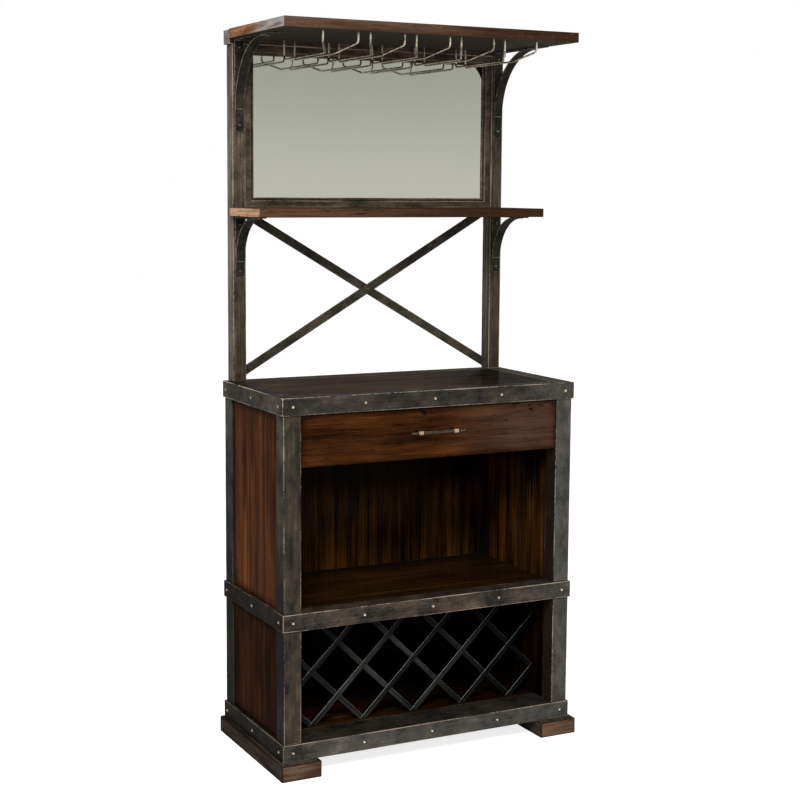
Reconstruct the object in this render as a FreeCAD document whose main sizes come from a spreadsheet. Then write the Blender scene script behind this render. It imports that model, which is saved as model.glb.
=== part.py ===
import FreeCAD, Part
import math
import os
import re
import Sketcher
from FreeCAD import Rotation, Vector

# Drinks cabinet: a low cabinet with one drawer, an open bay and a bottle lattice,
# and above it an open hutch with two shelves, a mirror, a crossed brace and a stemware rack.
# Frame: +Z up, front faces -Y, origin at the centre of the footprint on the floor. Millimetres.

# Driving dimensions, each written once: alias and value
SIZES = {
    # How far every cut runs past the piece it cuts
    "overrun": 10.0,
    # Decks: a mitred border round an inset panel, all of one height
    "band_width": 914.0,
    "band_depth": 446.0,
    "band_height": 48.0,
    "border_width": 63.0,
    "sill_width": 118.0,
    "deck_panel_thickness": 20.0,
    "panel_ledge": 10.0,
    "panel_gap": 0.4,
    # Sled runners under the bottom deck
    "runner_height": 46.0,
    "runner_width": 118.0,
    "runner_side_reveal": 12.0,
    "runner_front_reveal": 22.0,
    "runner_back_reveal": 5.0,
    # Clear heights between the decks
    "lower_opening": 314.0,
    "upper_opening": 540.0,
    # Corner posts and the panels between them
    "post_width": 51.0,
    "post_depth": 52.0,
    "post_inset": 5.0,
    "side_panel_thickness": 18.0,
    "side_panel_inset": 5.0,
    "liner_thickness": 10.0,
    "back_panel_thickness": 9.0,
    "back_panel_inset": 4.0,
    # Round-headed rivets along the bands, and screws in the sill
    "rivet_radius": 5.2,
    "rivet_rise": 2.8,
    "rivet_front_end": 30.0,
    "rivet_side_end": 28.0,
    "sill_screw_radius": 3.5,
    "sill_screw_rise": 1.5,
    "sill_screw_setback": 58.0,
    "sill_screw_inner": 82.0,
    "sill_screw_end": 51.0,
    # Bottle lattice: two planes of half-lapped slats
    "lattice_columns": 5.0,
    "lattice_rows": 2.0,
    "slat_face": 15.0,
    "slat_depth": 18.0,
    "rear_lattice_setback": 290.0,
    "slat_overrun": 60.0,
    # Drawer
    "drawer_gap": 2.0,
    "drawer_front_height": 141.0,
    "drawer_front_thickness": 20.0,
    "drawer_front_setback": 6.0,
    "drawer_side_thickness": 12.0,
    "drawer_side_height": 95.0,
    "drawer_side_rise": 15.0,
    "drawer_bottom_thickness": 6.0,
    "drawer_bottom_rise": 8.0,
    "groove_depth": 6.0,
    # Telescopic side slides
    "slide_back_space": 52.0,
    "slide_space": 12.7,
    "slide_height": 45.0,
    "slide_gauge": 1.2,
    "slide_play": 0.5,
    "slide_lip_gap": 3.7,
    # Bar pull
    "pull_length": 168.0,
    "pull_rise": 77.0,
    "pull_reach": 27.0,
    "pull_radius": 4.0,
    "pull_grip_radius": 5.8,
    "pull_spacing": 110.0,
    "collar_radius": 6.5,
    "collar_length": 14.5,
    "pull_post_radius": 3.8,
    "screw_radius": 2.0,
    "screw_head_radius": 4.0,
    "screw_head_height": 2.5,
    "screw_grip": 9.0,
    "snug": 0.05,
    # Hutch uprights and back rails
    "upright_width": 39.0,
    "upright_depth": 46.0,
    "upright_inset": 17.0,
    "mid_shelf_rise": 497.0,
    "mid_shelf_thickness": 25.0,
    "mid_shelf_depth": 228.0,
    "shelf_overhang": 11.0,
    "top_shelf_rise": 994.0,
    "top_shelf_thickness": 28.0,
    "cap_height": 40.0,
    "cap_overhang": 9.0,
    "cap_drop": 2.0,
    # Mirror in its mitred frame
    "mirror_member": 28.0,
    "mirror_frame_depth": 24.0,
    "mirror_frame_recess": 6.0,
    "mirror_step": 9.0,
    "mirror_step_depth": 4.0,
    "glass_setback": 8.0,
    "glass_thickness": 4.0,
    "glass_lip": 7.0,
    "backing_thickness": 5.0,
    # Crossed flat bars between the uprights
    "brace_width": 25.0,
    "brace_gauge": 5.0,
    "brace_lift": 18.0,
    "brace_end_inset": 2.6,
    "brace_back_setback": 2.0,
    "brace_overrun": 60.0,
    # Flat-bar brackets under the two shelves
    "bracket_width": 28.0,
    "bracket_gauge": 4.0,
    "weld": 1.5,
    "top_bracket_drop": 258.0,
    "top_bracket_reach": 266.0,
    "top_bracket_radius": 190.0,
    "top_screw_high": 22.0,
    "top_screw_end": 20.0,
    "mid_bracket_drop": 173.0,
    "mid_bracket_reach": 170.0,
    "mid_bracket_radius": 124.0,
    "mid_screw_high": 24.0,
    "mid_screw_end": 18.0,
    "bracket_screw_end": 16.0,
    "screw_dome_radius": 4.5,
    "screw_dome_rise": 2.2,
    # Straps that tie the hutch to the cabinet at the back
    "strap_width": 28.0,
    "strap_gauge": 2.5,
    "strap_length": 110.0,
    "strap_lap": 40.0,
    "strap_screw_end": 14.0,
    # Stemware rack: bent round wire
    "channels": 5.0,
    "rack_margin": 54.75,
    "mount_spread": 103.0,
    "slot_spread": 32.0,
    "wire_radius": 2.75,
    "wire_bend": 11.0,
    "wire_front_setback": 30.0,
    "wire_run": 346.0,
    "wire_drop": 29.0,
    "wire_depth": 53.0,
    "wire_front_slope": 66.0,
}

# Places worked out from those dimensions
PLACES = {
    "pull_overhang": "pull_reach + collar_radius - drawer_front_setback",
    "front_overhang": "max(runner_front_reveal; pull_overhang)",
    "half_depth": "(front_overhang + band_depth + runner_back_reveal) / 2",
    "band_front": "front_overhang - half_depth",
    "band_back": "band_front + band_depth",
    "bottom_deck_top": "runner_height + band_height",
    "middle_deck_base": "bottom_deck_top + lower_opening",
    "middle_deck_top": "middle_deck_base + band_height",
    "counter_base": "middle_deck_top + upper_opening",
    "counter_top": "counter_base + band_height",
    "post_outer": "band_width / 2 - post_inset",
    "post_inner": "post_outer - post_width",
    "post_front": "band_front + post_inset",
    "post_back": "band_back - post_inset",
    "panel_front": "post_front + post_depth",
    "back_panel_front": "post_back - back_panel_inset - back_panel_thickness",
    "panel_run": "post_back - post_front - 2 * post_depth",
    "lattice_pitch": "2 * post_inner / lattice_columns",
    "lattice_rise": "lower_opening / lattice_rows",
    "lattice_angle": "atan(lattice_rise / lattice_pitch)",
    "drawer_front_y": "band_front + drawer_front_setback",
    "drawer_box_y": "drawer_front_y + drawer_front_thickness",
    "drawer_base": "counter_base - drawer_gap - drawer_front_height",
    "drawer_side_base": "drawer_base + drawer_side_rise",
    "drawer_floor": "drawer_side_base + drawer_bottom_rise",
    "drawer_half": "post_inner - slide_space",
    "slide_length": "back_panel_front - slide_back_space - drawer_box_y",
    "slide_lip": "slide_space - slide_lip_gap",
    "slide_level": "drawer_side_base + drawer_side_height / 2",
    "pull_level": "drawer_base + pull_rise",
    "pull_y": "drawer_front_y - pull_reach",
    "upright_half_span": "band_width / 2 - upright_inset",
    "upright_inner": "upright_half_span - upright_width",
    "upright_centre": "upright_half_span - upright_width / 2",
    "upright_front": "band_back - upright_depth",
    "shelf_width": "2 * (upright_half_span + shelf_overhang)",
    "cap_width": "2 * (upright_half_span + cap_overhang)",
    "mid_shelf_top": "counter_top + mid_shelf_rise",
    "mid_shelf_base": "mid_shelf_top - mid_shelf_thickness",
    "top_shelf_top": "counter_top + top_shelf_rise",
    "top_shelf_base": "top_shelf_top - top_shelf_thickness",
    "cap_top": "top_shelf_top - cap_drop",
    "cap_base": "cap_top - cap_height",
    "mirror_front": "upright_front + mirror_frame_recess",
    "mirror_height": "cap_base - mid_shelf_top",
    "glass_y": "mirror_front + glass_setback",
    "glass_inset": "mirror_member - glass_lip",
    "brace_back": "band_back - brace_back_setback",
    "brace_space": "mid_shelf_base - counter_top",
    "brace_level": "counter_top + brace_space / 2 + brace_lift",
    "brace_angle": "atan((brace_space / 2 - brace_end_inset) / upright_inner)",
    "channel_pitch": "2 * (upright_inner - rack_margin) / channels",
}

os.makedirs("parts", exist_ok=True)
doc = FreeCAD.newDocument("drinks_cabinet")
sheet = doc.addObject("Spreadsheet::Sheet", "Sizes")
for row, (alias, value) in enumerate(SIZES.items(), 1):
    sheet.set(f"A{row}", str(value))
    sheet.setAlias(f"A{row}", alias)
doc.recompute()

nodes = []


def size(alias):
    """A driving dimension as the sheet holds it."""
    return float(getattr(sheet, alias))


def spell(text):
    """Turns the plain names in an expression into the sheet's cells."""
    def word(match):
        name = match.group(0)
        if name in PLACES:
            return "(" + spell(PLACES[name]) + ")"
        return "Sizes." + name if name in SIZES else name
    return re.sub(r"[a-z_]+", word, text)


def bind(item, **properties):
    for name, text in properties.items():
        item.setExpression(name, spell(text))


def place(item, x="0", y="0", z="0"):
    for axis, text in zip("xyz", (x, y, z)):
        item.setExpression("Placement.Base." + axis, spell(text))
    return item


def keep(label, item):
    """Names a finished sub-part; its label names its file."""
    item.Label = label
    nodes.append(item)
    return item


def box(name, corner, extent):
    item = doc.addObject("Part::Box", name)
    bind(item, Length=extent[0], Width=extent[1], Height=extent[2])
    return place(item, *corner)


# Turns that point a cylinder's or a dome's own +Z along a direction
TURNS = {
    "+x": Rotation(Vector(0, 1, 0), 90),
    "-x": Rotation(Vector(0, 1, 0), -90),
    "+y": Rotation(Vector(1, 0, 0), -90),
    "-y": Rotation(Vector(1, 0, 0), 90),
    "+z": Rotation(),
    "-z": Rotation(Vector(1, 0, 0), 180),
}


def cylinder(name, radius, length, start, direction):
    item = doc.addObject("Part::Cylinder", name)
    bind(item, Radius=radius, Height=length)
    item.Placement.Rotation = TURNS[direction]
    return place(item, *start)


def dome(name, radius, rise, spot, direction):
    """A rivet or screw head: a shallow spherical cap whose flat lies at the spot."""
    item = doc.addObject("Part::Sphere", name)
    bind(item, Radius=f"({radius} ^ 2 + {rise} ^ 2) / (2 * {rise})",
         Angle1=f"asin(({radius} ^ 2 - {rise} ^ 2) / ({radius} ^ 2 + {rise} ^ 2))")
    item.Placement.Rotation = TURNS[direction]
    sunk = f"({radius} ^ 2 - {rise} ^ 2) / (2 * {rise})"
    sign = "-" if direction[0] == "+" else "+"
    spot = list(spot)
    axis = "xyz".index(direction[1])
    spot[axis] = f"{spot[axis]} {sign} {sunk}"
    return place(item, *spot)


def combine(kind, name, base, tool):
    item = doc.addObject("Part::" + kind, name)
    item.Base = base
    item.Tool = tool
    return item


def group(name, items):
    item = doc.addObject("Part::Compound", name)
    item.Links = items
    return item


def prism(name, plane, corners, depth):
    """A polygon, each corner dimensioned from the sketch's origin, padded along +Z or +Y."""
    body = doc.addObject("PartDesign::Body", name)
    sketch = body.newObject("Sketcher::SketchObject", name + "_outline")
    origin_plane = [item for item in body.Origin.OriginFeatures if item.Role == plane][0]
    sketch.AttachmentSupport = [(origin_plane, "")]
    sketch.MapMode = "FlatFace"
    count = len(corners)
    # A loose first ring of points in the first quarter; the dimensions below move it to its true shape
    reach = size("border_width")
    turns = [2 * math.pi * (k - 1) / count for k in range(count)]
    ring = [Vector(2 + math.cos(turn), 2 + math.sin(turn), 0) * reach for turn in turns]
    for k in range(count):
        sketch.addGeometry(Part.LineSegment(ring[k], ring[(k + 1) % count]), False)
    for k in range(count):
        sketch.addConstraint(Sketcher.Constraint("Coincident", k, 2, (k + 1) % count, 1))
    for k, (across, along) in enumerate(corners):
        rules = ((across, "DistanceX", ring[k].x, -2), (along, "DistanceY", ring[k].y, -1))
        for text, kind, start, axis in rules:
            if text == "0":
                sketch.addConstraint(Sketcher.Constraint("PointOnObject", k, 1, axis))
            else:
                index = sketch.addConstraint(Sketcher.Constraint(kind, -1, 1, k, 1, start))
                sketch.setExpression(f"Constraints[{index}]", spell(text))
    pad = body.newObject("PartDesign::Pad", name + "_pad")
    pad.Profile = sketch
    pad.Reversed = plane == "XZ_Plane"
    bind(pad, Length=depth)
    return body


def mitred_frame(name, plane, across, along, side, near, far, depth, corner):
    """Four mitred members: near, far, left and right, round an open middle."""
    inner_right = f"{across} - {side}"
    inner_far = f"{along} - {far}"
    outlines = {
        "near": [("0", "0"), (across, "0"), (inner_right, near), (side, near)],
        "far": [(side, inner_far), (inner_right, inner_far), (across, along), ("0", along)],
        "left": [("0", "0"), (side, near), (side, inner_far), ("0", along)],
        "right": [(across, "0"), (across, along), (inner_right, inner_far), (inner_right, near)],
    }
    members = {}
    for member, corners in outlines.items():
        members[member] = place(prism(f"{name}_{member}_blank", plane, corners, depth), *corner)
    return members


def deck(name, base, front_border):
    """One deck: mitred border rails, flush with the panel that lies on their ledge."""
    corner = ("-band_width / 2", "band_front", base)
    members = mitred_frame(name, "XY_Plane", "band_width", "band_depth", "border_width",
                           front_border, "border_width", "band_height", corner)
    ledge_side = "(border_width - panel_ledge)"
    ledge_front = f"({front_border} - panel_ledge)"
    top = f"{base} + band_height"
    space = box(f"{name}_ledge", (
        f"-band_width / 2 + {ledge_side}", f"band_front + {ledge_front}", f"{top} - deck_panel_thickness"), (
        f"band_width - 2 * {ledge_side}", f"band_depth - {ledge_side} - {ledge_front}",
        "deck_panel_thickness + overrun"))
    cut = {member: combine("Cut", f"{name}_{member}_rail", blank, space)
           for member, blank in members.items()}
    keep(f"{name}_front_rail", cut["near"])
    keep(f"{name}_back_rail", cut["far"])
    keep(f"{name}_side_rails", group(f"{name}_side_pair", [cut["left"], cut["right"]]))
    keep(f"{name}_panel", box(f"{name}_board", (
        f"-band_width / 2 + {ledge_side} + panel_gap", f"band_front + {ledge_front} + panel_gap",
        f"{top} - deck_panel_thickness"), (
        f"band_width - 2 * {ledge_side} - 2 * panel_gap",
        f"band_depth - {ledge_side} - {ledge_front} - 2 * panel_gap", "deck_panel_thickness")))


def both_sides(label, inner, y, z, thickness, depth, height):
    """Two mirrored boards in one node, each with its inner face at the given half span."""
    left = box(label + "_left", (f"-({inner}) - {thickness}", y, z), (thickness, depth, height))
    right = box(label + "_right", (inner, y, z), (thickness, depth, height))
    return keep(label, group(label + "_pair", [left, right]))


# Runners and decks
for label, x in (("left_runner", "-band_width / 2 - runner_side_reveal"),
                 ("right_runner", "band_width / 2 + runner_side_reveal - runner_width")):
    keep(label, box(label + "_block", (x, "band_front - runner_front_reveal", "0"), (
        "runner_width", "runner_front_reveal + band_depth + runner_back_reveal", "runner_height")))
deck("bottom", "runner_height", "sill_width")
deck("middle", "middle_deck_base", "border_width")
deck("counter", "counter_base", "border_width")

# Corner posts, side panels with their inner liners, and back panels, storey by storey
for storey, base, height in (("lower", "bottom_deck_top", "lower_opening"),
                             ("upper", "middle_deck_top", "upper_opening")):
    both_sides(f"{storey}_front_posts", "post_inner", "post_front", base, "post_width", "post_depth", height)
    both_sides(f"{storey}_back_posts", "post_inner", "post_back - post_depth", base, "post_width",
               "post_depth", height)
    both_sides(f"{storey}_side_panels", "post_outer - side_panel_inset - side_panel_thickness",
               "panel_front", base, "side_panel_thickness", "panel_run", height)
    both_sides(f"{storey}_liners", "post_inner", "panel_front", base, "liner_thickness", "panel_run", height)
    keep(f"{storey}_back_panel", box(f"{storey}_back_board", (
        "-post_inner", "back_panel_front", base), (
        "2 * post_inner", "back_panel_thickness", height)))


def band_rivets():
    heads = []
    bases = (("bottom", "runner_height"), ("middle", "middle_deck_base"), ("counter", "counter_base"))
    for deck_name, base in bases:
        level = f"{base} + band_height / 2"
        for k in range(-2, 3):
            x = f"{k} * (band_width / 2 - rivet_front_end) / 2"
            heads.append(dome(f"{deck_name}_front_rivet_{k + 3}", "rivet_radius", "rivet_rise",
                              (x, "band_front", level), "-y"))
        for side, x, direction in (("left", "-band_width / 2", "-x"), ("right", "band_width / 2", "+x")):
            for k in range(-1, 2):
                y = f"band_front + band_depth / 2 + {k} * (band_depth / 2 - rivet_side_end)"
                heads.append(dome(f"{deck_name}_{side}_rivet_{k + 2}", "rivet_radius", "rivet_rise",
                                  (x, y, level), direction))
    sill_spots = ("-(post_inner - sill_screw_end)", "-sill_screw_inner", "sill_screw_inner",
                  "post_inner - sill_screw_end")
    for k, x in enumerate(sill_spots, 1):
        heads.append(dome(f"sill_screw_{k}", "sill_screw_radius", "sill_screw_rise",
                          (x, "band_front + sill_screw_setback", "bottom_deck_top"), "+z"))
    return group("rivet_heads", heads)


keep("band_rivets", band_rivets())


def slat_row(name, setback, lean):
    """Parallel slats that rise to the right (lean 1) or to the left (lean -1), longer than their opening."""
    slats = []
    count = round(size("lattice_columns") + size("lattice_rows"))
    for k in range(count):
        slat = doc.addObject("Part::Box", f"{name}_{k + 1}")
        bind(slat, Length="lower_opening / sin(lattice_angle) + 2 * slat_overrun", Width="slat_depth",
             Height="slat_face")
        slat.Placement.Rotation = Rotation(Vector(0, 1, 0), 1)
        bind(slat, **{"Placement.Rotation.Angle": f"{-lean} * lattice_angle"})
        foot = f"{lean} * (({k} + 0.5 - lattice_rows) * lattice_pitch - post_inner)"
        below = "slat_overrun * sin(lattice_angle)"
        if lean > 0:
            start_x = f"{foot} - slat_overrun * cos(lattice_angle) + slat_face / 2 * sin(lattice_angle)"
            start_z = f"bottom_deck_top - {below}"
        else:
            start_x = (f"{foot} - lower_opening / tan(lattice_angle) - slat_overrun * cos(lattice_angle)"
                       " - slat_face / 2 * sin(lattice_angle)")
            start_z = f"middle_deck_base + {below}"
        place(slat, start_x, f"band_front + {setback}", f"{start_z} - slat_face / 2 * cos(lattice_angle)")
        slats.append(slat)
    return group(name, slats)


def lattice(name, setback):
    """A diamond lattice trimmed to the lower opening, its two rows of slats half-lapped."""
    opening = box(f"{name}_opening", ("-post_inner", f"band_front + {setback}", "bottom_deck_top"),
                  ("2 * post_inner", "slat_depth", "lower_opening"))
    rows = {"rising": slat_row(f"{name}_rising_row", setback, 1),
            "falling": slat_row(f"{name}_falling_row", setback, -1)}
    halves = {"rising": "slat_depth / 2", "falling": "0"}
    for row, other in (("rising", "falling"), ("falling", "rising")):
        trimmed = combine("Common", f"{name}_{row}_trimmed", rows[row], opening)
        half = box(f"{name}_{row}_half", (
            "-post_inner - slat_overrun", f"band_front + {setback} + {halves[row]}",
            "bottom_deck_top - slat_overrun"), (
            "2 * post_inner + 2 * slat_overrun", "slat_depth / 2", "lower_opening + 2 * slat_overrun"))
        notches = combine("Common", f"{name}_{row}_notches", rows[other], half)
        keep(f"{name}_{row}_slats", combine("Cut", f"{name}_{row}_lapped", trimmed, notches))


lattice("front_lattice", "sill_width")
lattice("rear_lattice", "rear_lattice_setback")


def drawer():
    front = box("drawer_front_board", ("-post_inner + drawer_gap", "drawer_front_y", "drawer_base"), (
        "2 * (post_inner - drawer_gap)", "drawer_front_thickness", "drawer_front_height"))
    bores = []
    for side, sign in (("left", "-"), ("right", "")):
        start = (f"{sign}pull_spacing / 2", "drawer_front_y - overrun", "pull_level")
        bores.append(cylinder(f"{side}_pull_bore", "screw_radius + snug",
                              "drawer_front_thickness + 2 * overrun", start, "+y"))
    keep("drawer_front", combine("Cut", "drawer_front_bored", front, group("pull_bores", bores)))
    floor = box("drawer_floor_board", (
        "-drawer_half + drawer_side_thickness - groove_depth", "drawer_box_y", "drawer_floor"), (
        "2 * (drawer_half - drawer_side_thickness + groove_depth)", "slide_length",
        "drawer_bottom_thickness"))
    for side, x in (("left", "-drawer_half"), ("right", "drawer_half - drawer_side_thickness")):
        board = box(f"drawer_{side}_board", (x, "drawer_box_y", "drawer_side_base"), (
            "drawer_side_thickness", "slide_length", "drawer_side_height"))
        keep(f"drawer_{side}_side", combine("Cut", f"drawer_{side}_grooved", board, floor))
    # The back board stands on the bottom board, which slides in under it
    keep("drawer_back", box("drawer_back_board", (
        "-drawer_half + drawer_side_thickness", "drawer_box_y + slide_length - drawer_side_thickness",
        "drawer_floor + drawer_bottom_thickness"), (
        "2 * (drawer_half - drawer_side_thickness)", "drawer_side_thickness",
        "drawer_side_height - drawer_bottom_rise - drawer_bottom_thickness")))
    keep("drawer_bottom", floor)


drawer()


def channel(name, side, web_face, reach, half_height, opens_in):
    """A C-shaped slide member; web_face is its web's outer face as a half span."""
    inner = f"({web_face} - {reach})" if opens_in else web_face
    hollow_inner = inner if opens_in else f"({web_face} + slide_gauge)"
    blocks = []
    for part, start, width, wall in (("bar", inner, reach, "0"),
                                     ("hollow", hollow_inner, f"({reach} - slide_gauge)", "slide_gauge")):
        x = f"-{start} - {width}" if side == "left" else start
        blocks.append(box(f"{name}_{part}", (x, "drawer_box_y", f"slide_level - {half_height} + {wall}"),
                          (width, "slide_length", f"2 * ({half_height} - {wall})")))
    return combine("Cut", name, *blocks)


def slides():
    """Three nested members on each side: on the liner, between, and on the drawer."""
    cabinet_half = "slide_height / 2"
    middle_half = "(slide_height / 2 - slide_gauge - slide_play)"
    drawer_half_height = "(slide_height / 2 - 2 * slide_gauge - 2 * slide_play)"
    middle_face = "(post_inner - slide_gauge - slide_play)"
    inner_reach = "(slide_space - 2 * slide_gauge - 2 * slide_play)"
    members = (("slide_cabinet_members", "post_inner", "slide_lip", cabinet_half, True),
               ("slide_middle_members", middle_face, "slide_lip", middle_half, True),
               ("slide_drawer_members", "drawer_half", inner_reach, drawer_half_height, False))
    for label, *sizes in members:
        pair = [channel(f"{label}_{side}", side, *sizes) for side in ("left", "right")]
        keep(label, group(label + "_pair", pair))


slides()


def pull():
    """A round bar through two collars, each on a post screwed through the drawer front."""
    rod = cylinder("pull_rod", "pull_radius", "pull_length", (
        "-pull_length / 2", "pull_y", "pull_level"), "+x")
    grip = cylinder("pull_grip", "pull_grip_radius", "pull_spacing - collar_length", (
        "-(pull_spacing - collar_length) / 2", "pull_y", "pull_level"), "+x")
    keep("pull_bar", combine("Fuse", "pull_rod_and_grip", rod, grip))
    collars = []
    posts = []
    screws = []
    for side, sign in (("left", "-"), ("right", "")):
        x = f"{sign}pull_spacing / 2"
        start = (f"{x} - collar_length / 2", "pull_y", "pull_level")
        sleeve = cylinder(f"{side}_sleeve", "collar_radius", "collar_length", start, "+x")
        sleeve_bore = cylinder(f"{side}_sleeve_bore", "pull_radius + snug", "collar_length", start, "+x")
        collars.append(combine("Cut", f"{side}_collar", sleeve, sleeve_bore))
        stem = cylinder(f"{side}_stem", "pull_post_radius", "pull_reach", (x, "pull_y", "pull_level"), "+y")
        seat = cylinder(f"{side}_stem_seat", "collar_radius + snug", "collar_length + 2 * overrun", (
            f"{x} - collar_length / 2 - overrun", "pull_y", "pull_level"), "+x")
        stem_bore = cylinder(f"{side}_stem_bore", "screw_radius + snug", "screw_grip + snug", (
            x, "drawer_front_y - screw_grip - snug", "pull_level"), "+y")
        hollowed = combine("Cut", f"{side}_stem_trimmed", stem, seat)
        posts.append(combine("Cut", f"{side}_post", hollowed, stem_bore))
        shank = cylinder(f"{side}_screw_shank", "screw_radius", "drawer_front_thickness + screw_grip", (
            x, "drawer_front_y - screw_grip", "pull_level"), "+y")
        head = cylinder(f"{side}_screw_head", "screw_head_radius", "screw_head_height", (
            x, "drawer_box_y", "pull_level"), "+y")
        screws.append(combine("Fuse", f"{side}_screw", shank, head))
    keep("pull_collars", group("collar_pair", collars))
    keep("pull_posts", group("post_pair", posts))
    keep("pull_screws", group("screw_pair", screws))


pull()

# Hutch: uprights, back rails and shelves
for label, x in (("left_upright", "-upright_half_span"), ("right_upright", "upright_inner")):
    keep(label, box(label + "_post", (x, "upright_front", "counter_top"),
                    ("upright_width", "upright_depth", "cap_base - counter_top")))
keep("top_back_rail", box("cap", ("-cap_width / 2", "upright_front", "cap_base"), (
    "cap_width", "upright_depth", "cap_height")))
keep("top_shelf", box("top_board", ("-shelf_width / 2", "band_front", "top_shelf_base"), (
    "shelf_width", "upright_front - band_front", "top_shelf_thickness")))
keep("mid_back_rail", box("mid_rail", ("-upright_inner", "upright_front", "mid_shelf_base"), (
    "2 * upright_inner", "upright_depth", "mid_shelf_thickness")))
keep("mid_shelf", box("mid_board", (
    "-shelf_width / 2", "upright_front - mid_shelf_depth", "mid_shelf_base"), (
    "shelf_width", "mid_shelf_depth", "mid_shelf_thickness")))


def mirror():
    corner = ("-upright_inner", "mirror_front", "mid_shelf_top")
    members = mitred_frame("mirror", "XZ_Plane", "2 * upright_inner", "mirror_height", "mirror_member",
                           "mirror_member", "mirror_member", "mirror_frame_depth", corner)
    step_edge = "(mirror_member - mirror_step)"
    step = box("mirror_step_space", (
        f"-upright_inner + {step_edge}", "mirror_front - overrun", f"mid_shelf_top + {step_edge}"), (
        f"2 * (upright_inner - {step_edge})", "mirror_step_depth + overrun",
        f"mirror_height - 2 * {step_edge}"))
    sheet_width = "2 * (upright_inner - glass_inset)"
    sheet_height = "mirror_height - 2 * glass_inset"
    sheet_foot = "mid_shelf_top + glass_inset"
    rebate = box("mirror_rebate", ("-upright_inner + glass_inset", "glass_y", sheet_foot), (
        sheet_width, "mirror_frame_depth", sheet_height))
    spaces = group("mirror_spaces", [step, rebate])
    cut = [combine("Cut", f"mirror_{member}_member", blank, spaces) for member, blank in members.items()]
    keep("mirror_frame", group("mirror_members", cut))
    for label, y, thickness in (("mirror_glass", "glass_y", "glass_thickness"),
                                ("mirror_backing", "glass_y + glass_thickness", "backing_thickness")):
        keep(label, box(label + "_sheet", ("-upright_inner + glass_inset", y, sheet_foot),
                        (sheet_width, thickness, sheet_height)))


mirror()


def brace():
    """Two flat bars crossed back to back, trimmed to the space between the uprights."""
    half = "((upright_inner + brace_overrun) / cos(brace_angle))"
    bars = (("brace_rising", "2 * brace_gauge", -1), ("brace_falling", "brace_gauge", 1))
    for label, setback, lean in bars:
        y = f"brace_back - {setback}"
        bar = doc.addObject("Part::Box", label + "_bar")
        bind(bar, Length=f"2 * {half}", Width="brace_gauge", Height="brace_width")
        bar.Placement.Rotation = Rotation(Vector(0, 1, 0), 1)
        bind(bar, **{"Placement.Rotation.Angle": f"{lean} * brace_angle"})
        place(bar, f"-{half} * cos(brace_angle) - {lean} * brace_width / 2 * sin(brace_angle)", y,
              f"brace_level + {lean} * {half} * sin(brace_angle) - brace_width / 2 * cos(brace_angle)")
        opening = box(label + "_opening", ("-upright_inner", y, "counter_top"), (
            "2 * upright_inner", "brace_gauge", "brace_space"))
        keep(label, combine("Common", label + "_trimmed", bar, opening))


brace()


def bracket(label, x, underside, drop, reach, radius):
    """Vertical and horizontal legs of flat bar, and a quarter arc welded between them."""
    corner_x = f"{x} - bracket_width / 2"
    leg_face = "upright_front - bracket_gauge"
    shelf_face = f"{underside} - bracket_gauge"
    upright_leg = box(label + "_upright_leg", (corner_x, leg_face, f"{underside} - {drop}"), (
        "bracket_width", "bracket_gauge", drop))
    shelf_leg = box(label + "_shelf_leg", (corner_x, f"upright_front - {reach}", shelf_face), (
        "bracket_width", reach, "bracket_gauge"))
    centre = (corner_x, f"{leg_face} - {radius}", f"{shelf_face} - {radius}")
    rings = []
    for name, ring_radius in (("outer", f"{radius} + weld"), ("inner", f"{radius} + weld - bracket_gauge")):
        ring = doc.addObject("Part::Cylinder", f"{label}_{name}_arc")
        bind(ring, Radius=ring_radius, Height="bracket_width")
        ring.Angle = 90
        # The cylinder's axis along +X and its quarter between +Y and +Z
        ring.Placement.Rotation = Rotation(Vector(1, 1, 1), 120)
        rings.append(place(ring, *centre))
    arc = combine("Cut", label + "_arc", rings[0], rings[1])
    legs = combine("Fuse", label + "_legs", upright_leg, shelf_leg)
    keep(label, combine("Fuse", label + "_welded", legs, arc))


# Row, depth of its upper screw, inset of its lower one, underside, drop, reach and radius of its arc
BRACKETS = (("top", "top_screw_high", "top_screw_end",
             "top_shelf_base", "top_bracket_drop", "top_bracket_reach", "top_bracket_radius"),
            ("mid", "mid_screw_high", "mid_screw_end",
             "mid_shelf_base", "mid_bracket_drop", "mid_bracket_reach", "mid_bracket_radius"))
SIDES = (("left", "-upright_centre"), ("right", "upright_centre"))
for row, _, _, *measures in BRACKETS:
    for side, x in SIDES:
        bracket(f"{row}_{side}_bracket", x, *measures)


def hutch_screws():
    """Screw heads on the brackets and the back straps, and the rivet where the brace bars cross."""
    heads = []
    for side, x in SIDES:
        for row, screw_high, screw_end, underside, drop, reach, _ in BRACKETS:
            levels = (f"{underside} - {screw_high}", f"{underside} - {drop} + {screw_end}")
            for k, level in enumerate(levels, 1):
                heads.append(dome(f"{row}_{side}_leg_screw_{k}", "screw_dome_radius", "screw_dome_rise", (
                    x, "upright_front - bracket_gauge", level), "-y"))
            heads.append(dome(f"{row}_{side}_shelf_screw", "screw_dome_radius", "screw_dome_rise", (
                x, f"upright_front - {reach} + bracket_screw_end", f"{underside} - bracket_gauge"), "-z"))
        strap_foot = "counter_top - strap_lap"
        for k, level in enumerate((f"{strap_foot} + strap_screw_end",
                                   f"{strap_foot} + strap_length - strap_screw_end"), 1):
            heads.append(dome(f"{side}_strap_screw_{k}", "screw_dome_radius", "screw_dome_rise", (
                x, "band_back + strap_gauge", level), "+y"))
    heads.append(dome("brace_rivet_front", "screw_dome_radius", "screw_dome_rise", (
        "0", "brace_back - 2 * brace_gauge", "brace_level"), "-y"))
    return group("screw_heads", heads)


keep("hutch_screws", hutch_screws())
straps = [box(f"{side}_strap", (f"{x} - strap_width / 2", "band_back", "counter_top - strap_lap"),
              ("strap_width", "strap_gauge", "strap_length"))
          for side, x in SIDES]
keep("hutch_straps", group("strap_pair", straps))


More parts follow.
